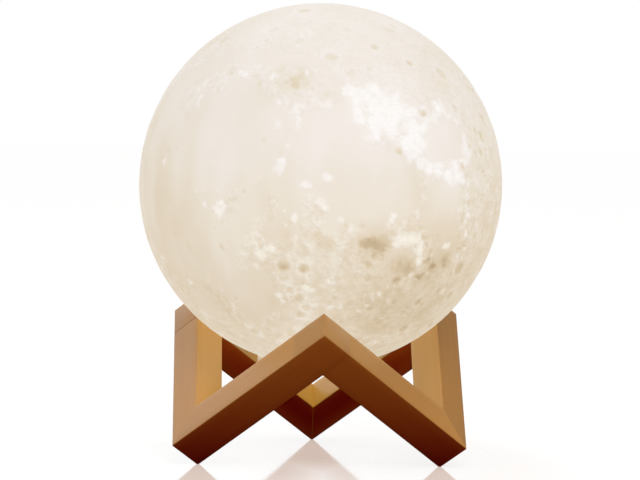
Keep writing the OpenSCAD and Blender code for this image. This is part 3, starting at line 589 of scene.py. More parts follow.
def crater_rows():
    """The craters of stated size, then random ones, fewer the larger."""
    rng = np.random.default_rng(1969)
    count, smallest, largest = 900, 0.62, 3.2
    centres = rng.normal(size=(count, 3))
    centres /= np.linalg.norm(centres, axis=1)[:, None]
    radii = smallest * (1 - rng.random(count)) ** (-1 / 2.1)
    depths = rng.uniform(0.5, 1.0, count)
    keep = radii < largest
    stated = [(on_moon(la, lo), r, d, p) for la, lo, r, d, p in CRATERS]
    return stated + [(c, r, d, 0) for c, r, d, k in
                     zip(centres, radii, depths, keep) if k]


def crater_relief(moon, land):
    """Height in millimetres of the craters: a bowl with a level floor inside
    radius 1, a rim that is a bell at 1, and a skirt that fades to 2. Also the
    darkness of the stated floors. Random craters are kept off the plains."""
    relief, floors = np.zeros(len(moon)), np.zeros(len(moon))
    for number, (centre, radius, depth, peak) in enumerate(crater_rows()):
        x = angle_to(moon, centre) / radius
        close = x < 2.2
        if not close.any():
            continue
        x = x[close]
        stated = number < len(CRATERS)
        fade = 1.0 if stated else smoothstep(-0.6, 0.8, land[close])
        deep = 0.17 * depth * radius ** 0.6
        bowl = -deep * (1 - smoothstep(0.45, 0.98, x))
        rim = 0.55 * deep * np.exp(-((x - 1.0) / 0.2) ** 2)
        skirt = 0.16 * deep * (1 - smoothstep(1.0, 2.2, x)) * (x > 1)
        middle = 0.5 * deep * np.exp(-(x / 0.16) ** 2) * peak
        relief[close] += fade * (bowl + rim + skirt + middle)
        if stated:
            dark = 0.30 * depth * (1 - smoothstep(0.5, 0.95, x))
            floors[close] = np.maximum(floors[close], dark)
    return relief, floors


def moon_surface(directions):
    """For unit vectors from the globe's middle, the surface's radius in
    millimetres and what the finish reads: distance from the shore, brightness
    of mountains and splashes, darkness of floors and patches, and the tone of
    craters and of broad stretches."""
    moon = directions @ moon_turn()
    shore = shore_distance(moon)
    ridge, ridge_shine = ridge_lines(moon)
    craters, floors = crater_relief(moon, shore)
    land = smoothstep(-1.2, 1.4, shore)
    rough = cloud_noise(moon, 9, 6, 41, 0.62)
    waves = cloud_noise(moon, 3.2, 3, 51)
    height = (LAND_HEIGHT * land + RIDGE_HEIGHT * ridge + ROUGHNESS * rough * land
              + WAVE_HEIGHT * waves + craters)
    # rounded off at the top, cut off at the bottom
    height = TOP_HEIGHT - np.log1p(np.exp((TOP_HEIGHT - height) * TOP_BEND)) / TOP_BEND
    height = np.maximum(height, LOWEST)
    radius = GLOBE_R - SKIN_GAP - RELIEF_SHARE * (TOP_HEIGHT - height)
    splashes = place_marks(SPLASHES, FAR_SPLASHES)
    shine = np.maximum(ridge_shine, patches(moon, splashes, 61, 1.5, 1.4))
    # the bright ring round the Sea of Crises
    near = angle_to(moon, on_moon(*CRISES_MIDDLE))
    ring = np.exp(-((shore - 1.7) / 1.5) ** 2) * np.exp(-(near / 12.5) ** 8)
    shine = np.maximum(shine, ring * (0.62 + 0.35 * cloud_noise(moon, 22, 2, 81)))
    hollows = place_marks(SHADES, FAR_SHADES)
    shade = np.maximum(floors, patches(moon, hollows, 71, 1.6, 1.55))
    # darker just inside that ring
    dip = np.exp(-((shore + 1.0) / 0.8) ** 2) * np.exp(-(near / 11.0) ** 8)
    shade = np.maximum(shade, 0.22 * dip)
    return radius, shore, shine, shade, craters * 0.45 + broad_tones(moon)


def build_moon(material):
    """The printed shell: the relief outside, from the top down to the edge of
    the opening, then the collar's bore and wall, then the plain inner wall
    back up to the top. Rings round the Z axis, joined one after another."""
    rows, columns, inner_columns = 214, 440, 88
    edge = math.asin(OPENING_R / GLOBE_R)
    polar = np.linspace(0, math.pi - edge, rows)[1:]
    turn = np.arange(columns) * 2 * math.pi / columns - math.pi
    around = turn - 0.35 * np.sin(turn) - math.pi / 2      # closer together in front
    p, a = np.meshgrid(polar, around, indexing="ij")
    directions = np.stack([np.sin(p) * np.cos(a), np.sin(p) * np.sin(a),
                           np.cos(p)], -1).reshape(-1, 3)
    directions = np.vstack([[[0.0, 0.0, 1.0]], directions])
    radius, shore, shine, shade, tone = moon_surface(directions)
    # the last rows run smoothly into the plain edge of the opening
    down = np.degrees(math.pi - np.arccos(directions[:, 2]) - edge)
    radius = GLOBE_R - (GLOBE_R - radius) * smoothstep(0, 3.0, down)
    outer = directions * radius[:, None]
    outer[:, 2] += GLOBE_Z
    bottom_z = GLOBE_Z - math.sqrt(GLOBE_R ** 2 - OPENING_R ** 2)
    faces = [(0, 1 + c, 1 + (c + 1) % columns) for c in range(columns)]
    faces += grid_faces(rows - 1, columns, True, 1)
    # bore of the collar, its upper face, its outer wall, the inner sphere
    inner_r = GLOBE_R - SHELL_WALL
    collar_r = OPENING_R + COLLAR_WALL
    start = math.asin(collar_r / inner_r)
    rings = [(OPENING_R, bottom_z + COLLAR_H), (collar_r, bottom_z + COLLAR_H),
             (collar_r, GLOBE_Z - inner_r * math.cos(start))]
    for q in np.linspace(start, math.pi, 40)[1:-1]:
        rings.append((inner_r * math.sin(q), GLOBE_Z - inner_r * math.cos(q)))
    c = np.cos(around)
    s = np.sin(around)
    verts = [outer]
    previous = len(outer) - columns
    count = len(outer)
    step = columns // inner_columns
    pick = np.arange(0, columns, step)
    for number, (r, z) in enumerate(rings):
        coarse = number >= 3
        cc, ss = (c[pick], s[pick]) if coarse else (c, s)
        verts.append(np.stack([r * cc, r * ss, np.full(len(cc), z)], -1))
        if number == 3:      # from the fine ring to the coarse one
            for k in range(inner_columns):
                fine = [previous + (k * step + j) % columns for j in range(step + 1)]
                faces.append(tuple(fine + [count + (k + 1) % inner_columns, count + k]))
        else:
            n = len(cc)
            for k in range(n):
                faces.append((previous + k, previous + (k + 1) % n,
                              count + (k + 1) % n, count + k))
        previous = count
        count += len(cc)
    verts.append(np.array([[0, 0, GLOBE_Z + inner_r]]))
    for k in range(inner_columns):
        faces.append((previous + k, previous + (k + 1) % inner_columns, count))
    verts = np.vstack(verts)
    piece = new_piece("moon_globe", verts, faces, "globe",
                      material, ("moon_shell",), sharp=50)
    rest = len(verts) - len(outer)
    for name, values in (("shore", shore), ("shine", shine), ("shade", shade),
                         ("tone", tone)):
        add_values(piece.data, name, np.concatenate([values, np.zeros(rest)]))


# ------------------------------------------------------------------ the stand

def cube_to_stand(turn):
    """Matrix from the cube's own axes to the stand, in millimetres: the V's
    corner is turned under the globe, the cube's diagonal stands up, and the
    feet come down to the table."""
    drop = (CUBE_EDGE - BAR_DOWN_W) / math.sqrt(3) + FOOT_FLAT
    return (Matrix.Translation((0, 0, -drop))
            @ Matrix.Rotation(math.radians(30 + turn), 4, "Z")
            @ Matrix.Rotation(-math.atan(math.sqrt(2)), 4, "Y")
            @ Matrix.Rotation(math.radians(-45), 4, "Z"))


def bar_outline(inset, near=EDGE_ROUND, far=EDGE_ROUND, steps=4, across=3):
    """Closed outline of a bar's section, anticlockwise from the corner (0, 0):
    a rectangle BAR_DOWN_W by BAR_UP_W, drawn in by inset, with a few points
    along each side. Its two corners at the inner side are rounded by near,
    the other two by far."""
    w, h = BAR_DOWN_W - 2 * inset, BAR_UP_W - 2 * inset
    corners = ((near, near, 180, near), (w - far, far, 270, far),
               (w - far, h - far, 0, far), (near, h - near, 90, near))
    points = []
    for k, (x, y, first, r) in enumerate(corners):
        t = np.radians(first + np.linspace(0, 90, steps + 1))
        arc = np.stack([x + r * np.cos(t), y + r * np.sin(t)], -1)
        points.append(arc)
        x2, y2, first2, r2 = corners[(k + 1) % 4]
        t2 = math.radians(first2)
        nxt = np.array([x2 + r2 * math.cos(t2), y2 + r2 * math.sin(t2)])
        share = np.linspace(0, 1, across + 2)[1:-1, None]
        points.append(arc[-1] * (1 - share) + nxt * share)
    return np.vstack(points) + inset


def build_bar(name, turn, through, shadows, material, seed, end_ease, meeting_edge):
    """One bar: its rounded outline carried from the mitre, where the start of
    each line is its own height (the mitre's 45 degrees), to the square end.
    The mitre is drawn in by a hair and a butt end by end_ease, so that the
    joints show as fine lines. A bar that runs through its corner has a rounded
    rim at its free end, and edges rounded by meeting_edge where the next bar
    meets it. The foot's point is cut off level with the table."""
    ease = MITRE_EASE
    length = CUBE_EDGE if through else CUBE_EDGE - BAR_DOWN_W
    full = bar_outline(0.0)
    drawn = bar_outline(ease, EDGE_ROUND - ease, EDGE_ROUND - ease)
    rings = [np.column_stack([drawn, drawn[:, 1] + ease * 0.3]),
             np.column_stack([full, full[:, 1] + ease * 1.3]),
             np.column_stack([full, full[:, 1] + MITRE_LINE])]
    near = full[:, 1] + MITRE_LINE
    joint = CUBE_EDGE - BAR_DOWN_W
    stop = joint - BEFORE_JOINT if through else length - end_ease
    for share in np.linspace(0, 1, 26)[1:]:
        rings.append(np.column_stack([full, near * (1 - share) + stop * share]))
    if through:      # where the next bar meets this one
        rim = max(end_ease, EDGE_ROUND)
        section = bar_outline(0.0, meeting_edge)
        for share in np.linspace(0, 1, 7):
            z = joint + AFTER_JOINT + share * (length - rim - joint - AFTER_JOINT)
            rings.append(np.column_stack([section, np.full(len(section), z)]))
        for t in np.radians((30, 60, 90)):      # rounded rim of the free end
            inset = rim * (1 - math.cos(t))
            x = section[:, 0] * (BAR_DOWN_W - inset) / BAR_DOWN_W
            y = inset + section[:, 1] * (BAR_UP_W - 2 * inset) / BAR_UP_W
            z = length - rim * (1 - math.sin(t))
            rings.append(np.column_stack([x, y, np.full(len(section), z)]))
    else:
        end = bar_outline(end_ease, EDGE_ROUND - end_ease, EDGE_ROUND - end_ease)
        rings.append(np.column_stack([end, np.full(len(end), length)]))
    n = len(full)
    local = np.vstack(rings)
    faces = grid_faces(len(rings), n)
    faces.append(tuple(range(n - 1, -1, -1)))
    faces.append(tuple(range(len(local) - n, len(local))))
    x = local[:, 0] + CUBE_EDGE - BAR_DOWN_W
    y, z = local[:, 1], local[:, 2]
    cube = np.column_stack([x, z, y] if through else [x, y, z])
    if through:
        faces = [tuple(reversed(f)) for f in faces]
    m = np.array(cube_to_stand(turn))
    placed = cube @ m[:3, :3].T + m[:3, 3]
    piece = new_piece(name, placed, faces, "stand", material,
                      (name.replace("_wood", ""),))
    rng = np.random.default_rng(seed)
    shift = rng.uniform(-400, 400, 3) * np.array([0.1, 0.1, 1])
    add_values(piece.data, "grain", (local + shift) * MM)
    outward = m[2, 1] if through else None
    add_painted_shade(piece.data, local, shadows, "back" in name, outward)
    cut_below_table(piece.data)
    smooth_by_angle(piece.data, BAR_CREASE)


def add_painted_shade(mesh, local, shadows, at_back, outward):
    """Painted shade on a bar: how far its downward faces are reddened and
    darkened, and how much darker the wood is; outward is the rise of the
    direction that a free square end faces, or None where the end is hidden in
    its joint and has the tone of the sides. Upward faces are not reddened and
    are darker by the first share of shadows at their upper end, by the second
    at the foot. Downward faces are redder and darker towards the table, and on
    the bars at the back more so away from their lower edge; there the mitre
    shows as a bare line. A painted shadow of the globe darkens what looks up at
    it there."""
    count = len(mesh.vertices)
    normal = np.zeros(count * 3, np.float32)
    mesh.vertex_normals.foreach_get("vector", normal)
    up = normal[2::3].copy()
    at_end = local[:, 2] > local[:, 2].max() - 1e-6
    if outward is None:
        n = at_end.sum()
        up[-2 * n:] = np.tile(up[-3 * n:-2 * n], 2)
    else:
        up[at_end] = outward
    place = np.zeros(count * 3, np.float32)
    mesh.vertices.foreach_get("co", place)
    x, y, z = place.reshape(-1, 3).T / MM
    inward = -(normal[0::3] * x + normal[1::3] * y) / np.hypot(x, y)
    low = 1 - np.clip(z / UNDERSHADE_TOP, 0, 1)
    upward = smoothstep(0.0, 0.45, up)
    under = np.exp(-(np.maximum(up - LOWER_FACE_RISE, 0) / 0.14) ** 2)
    shadow = PLAIN_SHADOW + upward * (
        shadows[0] + (shadows[1] - shadows[0]) * low ** 1.5 - PLAIN_SHADOW)
    # where the next bar butts on, both are one tone
    beyond = smoothstep(CUBE_EDGE - BAR_DOWN_W - 1, CUBE_EDGE - BAR_DOWN_W, local[:, 2])
    shadow += upward * beyond * (shadows[2] - shadows[0])
    if at_back:
        # painted shade on the back bars: deeper away from their lower edge and low down
        inner = smoothstep(0.0, 0.45, local[:, 1] / BAR_UP_W)
        stain = (0.70 + 0.30 * inner) * (0.62 + 0.38 * smoothstep(45, 20, z))
        shadow += under * ((0.08 + 0.40 * inner) * smoothstep(45, 20, z) - PLAIN_SHADOW)
        # painted shadow of the globe on the inward upward faces, high up
        shadow += (0.5 * upward * smoothstep(0.1, 0.4, inward)
                   * smoothstep(30, 48, z))
        bare = local[:, 2] - local[:, 1] < 0.5 * MITRE_LINE
        stain[bare] = 0.15
        shadow[bare] = 0
    else:
        # painted shade: downward faces redder and darker towards the table
        stain = 0.26 + 0.74 * low ** 2.2
        shadow += under * 0.48 * low ** 3
    add_values(mesh, "stain", under * stain)
    add_values(mesh, "shadow", shadow)


def cut_below_table(mesh):
    """Takes off what lies under z = 0 and closes the cut."""
    shape = bmesh.new()
    shape.from_mesh(mesh)
    parts = shape.verts[:] + shape.edges[:] + shape.faces[:]
    cut = bmesh.ops.bisect_plane(shape, geom=parts, plane_co=(0, 0, 0),
                                 plane_no=(0, 0, -1), clear_outer=True,
                                 dist=1e-7)
    edges = [e for e in cut["geom_cut"] if isinstance(e, bmesh.types.BMEdge)]
    bmesh.ops.holes_fill(shape, edges=edges)
    bmesh.ops.recalc_face_normals(shape, faces=shape.faces[:])
    shape.to_mesh(mesh)
    shape.free()


# ------------------------------------------------------------------ shader help

class Graph:
    """Adds nodes and links to one node tree in few words."""

    def __init__(self, tree):
        self.tree = tree
        self.nodes = tree.nodes
        self.links = tree.links

    def put(self, socket, value):
        if isinstance(value, bpy.types.NodeSocket):
            self.links.new(value, socket)
        elif value is not None:
            socket.default_value = value

    def add(self, kind, inputs=None, **settings):
        node = self.nodes.new(kind)
        for key, value in settings.items():
            setattr(node, key, value)
        for key, value in (inputs or {}).items():
            self.put(node.inputs[key], value)
        return node

    def math(self, operation, a, b=None, c=None, clamp=False):
        node = self.add("ShaderNodeMath", operation=operation, use_clamp=clamp)
        for socket, value in zip(node.inputs, (a, b, c)):
            self.put(socket, value)
        return node.outputs[0]

    def ramp_value(self, value, low, high, to_low=0.0, to_high=1.0):
        node = self.add("ShaderNodeMapRange", interpolation_type="SMOOTHSTEP")
        for key, v in (("Value", value), ("From Min", low), ("From Max", high),
                       ("To Min", to_low), ("To Max", to_high)):
            self.put(node.inputs[key], v)
        return node.outputs["Result"]

    def noise(self, vector, scale, detail, roughness):
        node = self.add("ShaderNodeTexNoise", noise_type="FBM", normalize=True)
        for key, v in (("Vector", vector), ("Scale", scale), ("Detail", detail),
                       ("Roughness", roughness)):
            self.put(node.inputs[key], v)
        return node.outputs["Fac"]

    def voronoi(self, vector, scale, feature):
        node = self.add("ShaderNodeTexVoronoi", feature=feature)
        self.put(node.inputs["Vector"], vector)
        self.put(node.inputs["Scale"], scale)
        return node.outputs["Distance"]

    def mix(self, factor, a, b, blend="MIX"):
        node = self.add("ShaderNodeMix", data_type="RGBA", blend_type=blend)
        self.put(node.inputs[0], factor)
        self.put(node.inputs[6], a)
        self.put(node.inputs[7], b)
        return node.outputs[2]

    def colours(self, factor, stops):
        node = self.add("ShaderNodeValToRGB")
        ramp = node.color_ramp
        while len(ramp.elements) < len(stops):
            ramp.elements.new(0.5)
        for element, (place, colour) in zip(ramp.elements, stops):
            element.position = place
            element.color = (*colour, 1.0)
        self.put(node.inputs["Fac"], factor)
        return node.outputs["Color"]

    def stretched(self, vector, scale, turn=(0, 0, 0)):
        node = self.add("ShaderNodeMapping")
        self.put(node.inputs["Vector"], vector)
        node.inputs["Scale"].default_value = scale
        node.inputs["Rotation"].default_value = turn
        return node.outputs["Vector"]

    def bump(self, height, distance):
        node = self.add("ShaderNodeBump")
        node.inputs["Strength"].default_value = 1.0
        node.inputs["Distance"].default_value = distance
        self.put(node.inputs["Height"], height)
        return node.outputs["Normal"]


def new_group(name, inputs, outputs):
    """A shader node group with named sockets, and its graph helper."""
    tree = bpy.data.node_groups.new(name, "ShaderNodeTree")
    kinds = {"f": "NodeSocketFloat", "c": "NodeSocketColor", "v": "NodeSocketVector"}
    for label, kind, value in inputs:
        socket = tree.interface.new_socket(label, in_out="INPUT", socket_type=kinds[kind])
        if value is not None:
            socket.default_value = value
    for label, kind in outputs:
        tree.interface.new_socket(label, in_out="OUTPUT", socket_type=kinds[kind])
    g = Graph(tree)
    source = g.add("NodeGroupInput")
    target = g.add("NodeGroupOutput")
    return tree, g, source.outputs, target.inputs


def new_material(name, **principled):
    """A material with one Principled BSDF whose plain numbers are set on the
    shader's own sockets. Returns material, graph and shader."""
    material = bpy.data.materials.new(name)
    material.use_nodes = True
    g = Graph(material.node_tree)
    shader = next(n for n in g.nodes if n.type == "BSDF_PRINCIPLED")
    for key, value in principled.items():
        shader.inputs[key.replace("_", " ")].default_value = value
    return material, g, shader


def use_group(g, tree, **inputs):
    node = g.add("ShaderNodeGroup", node_tree=tree)
    for key, value in inputs.items():
        g.put(node.inputs[key.replace("_", " ")], value)
    return node.outputs


def object_mm(g):
    """Object coordinates in millimetres."""
    place = g.add("ShaderNodeTexCoord").outputs["Object"]
    return g.stretched(place, (1000, 1000, 1000))


# ------------------------------------------------------------------ materials

def moon_print_group():
    """What the lit print shows: bright where mountains and young craters are
    thin and white, calm on the plains, brown in deep floors; the print's fine
    roughness as a height."""
    tree, g, i, o = new_group(
        "moon_print", (("Vector", "v", None), ("Shore", "f", 0.0),
                       ("Shine", "f", 0.0), ("Shade", "f", 0.0),
                       ("Tone", "f", 0.0)),
        (("Glow", "f"), ("Height", "f")))
    v = i["Vector"]
    clump = g.math("SUBTRACT", g.noise(v, 0.16, 3, 0.55), 0.5)
    grit = g.math("SUBTRACT", g.noise(v, 0.38, 3, 0.55), 0.5)
    broad = g.math("SUBTRACT", g.noise(v, 0.030, 2, 0.5), 0.5)
    mottle = g.math("SUBTRACT", g.noise(v, 0.085, 2, 0.55), 0.5)
    streak = g.math("SUBTRACT", g.noise(g.stretched(
        v, (0.070, 0.070, 0.022), (0.1, 0.18, 0.26)), 1.0, 2, 0.5), 0.5)
    bend = g.math("MULTIPLY_ADD", clump, 4.0, g.math("MULTIPLY", grit, 3.0))
    # shore line, bent
    land = g.ramp_value(g.math("ADD", i["Shore"], bend), -0.7, 0.7)
    # bright patches and brown hollows, with ragged edges
    broken = g.math("MULTIPLY_ADD", clump, 0.7, g.math("MULTIPLY", grit, 1.2))
    shine = g.ramp_value(g.math("ADD", i["Shine"], broken), 0.10, 1.05)
    shade = g.ramp_value(g.math("ADD", i["Shade"], g.math("MULTIPLY", broken, 0.8)),
                         0.10, 1.20)
    # fine dark creases between lumps of highland
    shift = g.add("ShaderNodeTexNoise", {"Vector": v, "Scale": 0.30, "Detail": 2.0})
    warp = g.add("ShaderNodeVectorMath", {0: shift.outputs["Color"],
                                          1: (5.0, 5.0, 5.0), 2: v},
                 operation="MULTIPLY_ADD")
    crease = g.ramp_value(g.voronoi(warp.outputs["Vector"], 0.22, "DISTANCE_TO_EDGE"),
                          0.0, 0.18, 1.0, 0.0)
    # fine bright lines that wander over the land
    line = g.math("ABSOLUTE", g.math("SUBTRACT", g.noise(v, 0.095, 3, 0.6), 0.5))
    line = g.ramp_value(line, 0.0, 0.028, 1.0, 0.0)
    calm = g.ramp_value(land, 0.0, 1.0, 0.20, 0.08)
    glow = g.math("MULTIPLY_ADD", broad, 0.22, 0.585)
    glow = g.math("MULTIPLY_ADD", streak, calm, glow)
    rise = g.add("ShaderNodeSeparateXYZ", {"Vector": v}).outputs["Z"]
    rugged = g.math("MULTIPLY", land, g.ramp_value(
        rise, GLOBE_Z + 15, GLOBE_Z + 62, 1.0, 0.20))
    shade = g.math("MULTIPLY", shade, g.ramp_value(
        rise, GLOBE_Z + 5, GLOBE_Z + 58, 1.0, 0.50))
    glow = g.math("MULTIPLY_ADD", g.math("MULTIPLY", clump, rugged), 0.27, glow)
    glow = g.math("MULTIPLY_ADD", g.math("MULTIPLY", grit, rugged), 0.21, glow)
    glow = g.math("MULTIPLY_ADD", g.math("MULTIPLY", crease, rugged), -0.035, glow)
    calmer = g.math("MULTIPLY", land, g.math("SUBTRACT", 1.2, rugged))
    glow = g.math("MULTIPLY_ADD", g.math("MULTIPLY", mottle, calmer), 0.16, glow)
    glow = g.math("MULTIPLY_ADD", g.math("MULTIPLY", line, rugged), 0.06, glow)
    glow = g.math("MULTIPLY_ADD", land, 0.01, glow)
    glow = g.math("MULTIPLY_ADD", shine, 0.31, glow)
    glow = g.math("MULTIPLY_ADD", shade, -0.285, glow)
    glow = g.math("ADD", i["Tone"], glow)
    g.put(o["Glow"], glow)
    rough = g.math("MULTIPLY_ADD", grit, 0.7, clump)
    rough = g.math("MULTIPLY_ADD", crease, -0.12, rough)
    g.put(o["Height"], g.math("MULTIPLY", rough, g.math("MULTIPLY_ADD", land, 0.92, 0.08)))
    return tree


def moon_material():
    """Printed ivory plastic, lit from inside. Its glow has painted shade,
    darker towards the bottom, and painted light: warmer low down, near the
    wood, and brighter low on the globe, where less of the studio's light falls."""
    material, g, shader = new_material(
        "moon_print", Roughness=0.66, Emission_Strength=0.80)
    shader.inputs["Specular IOR Level"].default_value = 0.1
    v = object_mm(g)
    values = {}
    for name in ("shore", "shine", "shade", "tone"):
        node = g.add("ShaderNodeAttribute", attribute_name=name)
        values[name.capitalize()] = node.outputs["Fac"]
    out = use_group(g, moon_print_group(), Vector=v, **values)
    place = g.add("ShaderNodeSeparateXYZ", {"Vector": v}).outputs
    # painted shade: the glow is darker towards the bottom
    rise = g.ramp_value(place["Z"], GLOBE_Z - 78, GLOBE_Z + 75, -0.16, 0.02)
    left = g.ramp_value(place["X"], -78, 10, -0.055, 0.0)
    right = g.ramp_value(place["X"], 30, 80, 0.0, -0.025)
    glow = g.math("ADD", g.math("ADD", out["Glow"], rise),
                  g.math("ADD", left, right), clamp=True)
    lit = g.colours(glow, (
        (0.0, (0.50, 0.38, 0.23)), (0.22, (0.68, 0.56, 0.39)),
        (0.38, (0.76, 0.66, 0.51)), (0.45, (0.79, 0.70, 0.565)),
        (0.52, (0.83, 0.765, 0.66)), (0.60, (0.862, 0.81, 0.742)),
        (0.70, (0.895, 0.848, 0.805)), (1.0, (0.968, 0.95, 0.94))))
    # painted light, warm from the wood: bright patches low on the globe are creamier
    painted_warmth = g.math("MULTIPLY", g.ramp_value(glow, 0.45, 0.70),
                   g.ramp_value(place["Z"], GLOBE_Z - 40, GLOBE_Z + 15, 1.0, 0.0))
    lit = g.mix(painted_warmth, lit, (1.0, 0.985, 0.87, 1), "MULTIPLY")
    # painted light: the studio's light falls from above, so the glow is brighter low down and
    # less of it is needed there
    height = g.ramp_value(place["Z"], GLOBE_Z - 78, GLOBE_Z + 78)
    painted_light_level = g.mix(height, (1.13, 1.15, 1.17, 1), (0.912, 0.902, 0.884, 1))
    lit = g.mix(1.0, lit, painted_light_level, "MULTIPLY")
    g.put(shader.inputs["Base Color"], g.mix(1.0, lit, (0.22, 0.22, 0.22, 1), "MULTIPLY"))
    g.put(shader.inputs["Emission Color"], lit)
    g.put(shader.inputs["Normal"], g.bump(out["Height"], 0.00075))
    return material


def wood_group():
    """Wood along the third axis of Vector, in millimetres: growth rings round
    a far middle, long fibres, short pores. The next to last input is painted
    shade that reddens and darkens the wood; Shadow is painted shade, the share
    by which a whole bar is darker."""
    tree, g, i, o = new_group(
        "bar_grain", (("Vector", "v", None), ("Light", "c", (0.5, 0.2, 0.06, 1)),
                      ("Dark", "c", (0.3, 0.1, 0.02, 1)), ("Ring width", "f", 2.6),
                      ("Stain", "f", 0.0), ("Shadow", "f", 0.0)),
        (("Color", "c"), ("Roughness", "f"), ("Height", "f")))
    v = i["Vector"]
    bend = g.noise(g.stretched(v, (0.05, 0.05, 0.006)), 1.0, 2, 0.5)
    parts = g.add("ShaderNodeSeparateXYZ", {"Vector": v}).outputs
    side = g.math("ADD", parts["X"], 61.0)
    up = g.math("ADD", parts["Y"], 23.0)
    far = g.math("SQRT", g.math("ADD", g.math("MULTIPLY", side, side),
                                g.math("MULTIPLY", up, up)))
    rings = g.math("DIVIDE", g.math("MULTIPLY_ADD", bend, 14.0, far), i["Ring width"])
    saw = g.math("FRACT", rings)
    late = g.math("POWER", saw, 2.6)
    fibre = g.noise(g.stretched(v, (2.2, 2.2, 0.05)), 1.0, 4, 0.6)
    long_tone = g.noise(g.stretched(v, (0.12, 0.12, 0.012)), 1.0, 2, 0.5)
    pores = g.noise(g.stretched(v, (3.4, 3.4, 0.32)), 1.0, 2, 0.5)
    pore = g.ramp_value(pores, 0.66, 0.76)
    tone = g.math("MULTIPLY_ADD", late, 0.16, g.math("MULTIPLY", fibre, 0.40))
    tone = g.math("ADD", tone, g.math("MULTIPLY_ADD", long_tone, 0.7, -0.20))
    tone = g.math("ADD", tone, g.math("MULTIPLY", pore, 0.16), clamp=True)
    raw = g.mix(tone, i["Light"], i["Dark"])
    # painted shade: redder and darker by the downward faces' share, darker by the shadow share
    deep = g.mix(i["Stain"], (1, 1, 1, 1), (1.3, 0.06, 0.10, 1))
    bare = g.mix(i["Shadow"], (1, 1, 1, 1), (0, 0, 0, 1))
    g.put(o["Color"], g.mix(1.0, g.mix(1.0, raw, deep, "MULTIPLY"), bare, "MULTIPLY"))
    g.put(o["Roughness"], g.math("MULTIPLY_ADD", fibre, 0.18, 0.30))
    g.put(o["Height"], g.math("SUBTRACT", g.math("MULTIPLY", fibre, 0.5), pore))
    return tree


def wood_material(name, tree, light, dark, attribute=None, **principled):
    material, g, shader = new_material(name, **principled)
    if attribute:
        place = g.add("ShaderNodeAttribute", attribute_name=attribute).outputs["Vector"]
        v = g.stretched(place, (1000, 1000, 1000))
    else:
        v = object_mm(g)
    out = use_group(g, tree, Vector=v, Light=(*light, 1), Dark=(*dark, 1))
    if attribute:
        for name in ("stain", "shadow"):
            value = g.add("ShaderNodeAttribute", attribute_name=name).outputs["Fac"]
            g.put(out[0].node.inputs[name.capitalize()], value)
    g.put(shader.inputs["Base Color"], out["Color"])
    g.put(shader.inputs["Roughness"], out["Roughness"])
    g.put(shader.inputs["Normal"], g.bump(out["Height"], 0.00005))
    return material


def grain_group():
    """Fine moulded or coated surface: a cell-like grain and a slow tone."""
    tree, g, i, o = new_group(
        "fine_surface", (("Vector", "v", None), ("Color", "c", (0.8, 0.8, 0.8, 1)),
                         ("Tint", "c", (0.7, 0.7, 0.7, 1)), ("Grain size", "f", 0.35),
                         ("Roughness", "f", 0.5), ("Spread", "f", 0.1)),
        (("Color", "c"), ("Roughness", "f"), ("Height", "f")))
    v = i["Vector"]
    cells = g.noise(v, g.math("DIVIDE", 1.0, i["Grain size"]), 2, 0.5)
    slow = g.noise(v, 0.12, 3, 0.55)
    g.put(o["Color"], g.mix(g.ramp_value(slow, 0.3, 0.8), i["Color"], i["Tint"]))
    spread = g.math("MULTIPLY", g.math("SUBTRACT", slow, 0.5), i["Spread"])
    g.put(o["Roughness"], g.math("MULTIPLY_ADD", g.math("SUBTRACT", cells, 0.5), 0.12,
                                 g.math("ADD", i["Roughness"], spread)))
    g.put(o["Height"], cells)
    return tree


def fine_material(name, tree, colour, tint, roughness, grain=0.35, depth=0.00002,
                  spread=0.1, **principled):
    material, g, shader = new_material(name, **principled)
    out = use_group(g, tree, Vector=object_mm(g), Color=(*colour, 1), Tint=(*tint, 1),
                    Grain_size=grain, Roughness=roughness, Spread=spread)
    g.put(shader.inputs["Base Color"], out["Color"])
    g.put(shader.inputs["Roughness"], out["Roughness"])
    g.put(shader.inputs["Normal"], g.bump(out["Height"], depth))
    return material


def dress(node, material):
    mesh = frame["nodes"][node].data
    mesh.materials.clear()
    mesh.materials.append(material)


# ------------------------------------------------------------------ build

wood = wood_group()
fine = grain_group()

bar_wood = wood_material("bar_lacquered_wood", wood, (0.54, 0.232, 0.027),
                         (0.445, 0.177, 0.018), "grain",
                         Coat_Weight=0.6, Coat_Roughness=0.34)
dowel_wood = wood_material("dowel_raw_wood", wood, (0.62, 0.42, 0.22),
                           (0.46, 0.27, 0.12))
moon_print = moon_material()
# painted light: the neck's white plastic glows faintly warm, as if lit by the globe
white_plastic = fine_material("neck_white_plastic", fine, (0.82, 0.81, 0.79),
                              (0.78, 0.76, 0.72), 0.48,
                              Emission_Color=(1.0, 0.80, 0.55, 1),
                              Emission_Strength=0.25)
button_plastic = fine_material("button_gloss_plastic", fine, (0.80, 0.79, 0.77),
                               (0.76, 0.74, 0.71), 0.22, depth=0.000004)
plated = fine_material("plated_steel", fine, (0.70, 0.71, 0.72), (0.60, 0.61, 0.63),
                       0.26, 0.2, 0.000004, Metallic=1.0)
black_plastic = fine_material("black_moulding", fine, (0.018, 0.018, 0.020),
                              (0.030, 0.030, 0.032), 0.45)
board_green = fine_material("board_mask_green", fine, (0.010, 0.11, 0.045),
                            (0.018, 0.15, 0.060), 0.30, 0.8)
board_white = fine_material("board_mask_white", fine, (0.74, 0.75, 0.74),
                            (0.68, 0.69, 0.69), 0.38, 0.5)
lamp_gel = fine_material("lamp_chip_gel", fine, (0.85, 0.66, 0.16),
                         (0.80, 0.60, 0.12), 0.28, 0.4,
                         Emission_Color=(1.0, 0.72, 0.30, 1), Emission_Strength=1.2)
clear_pin = fine_material("clear_pin", fine, (0.90, 0.92, 0.92), (0.86, 0.88, 0.88),
                          0.08, depth=0.000002, Transmission_Weight=0.9, IOR=1.49)
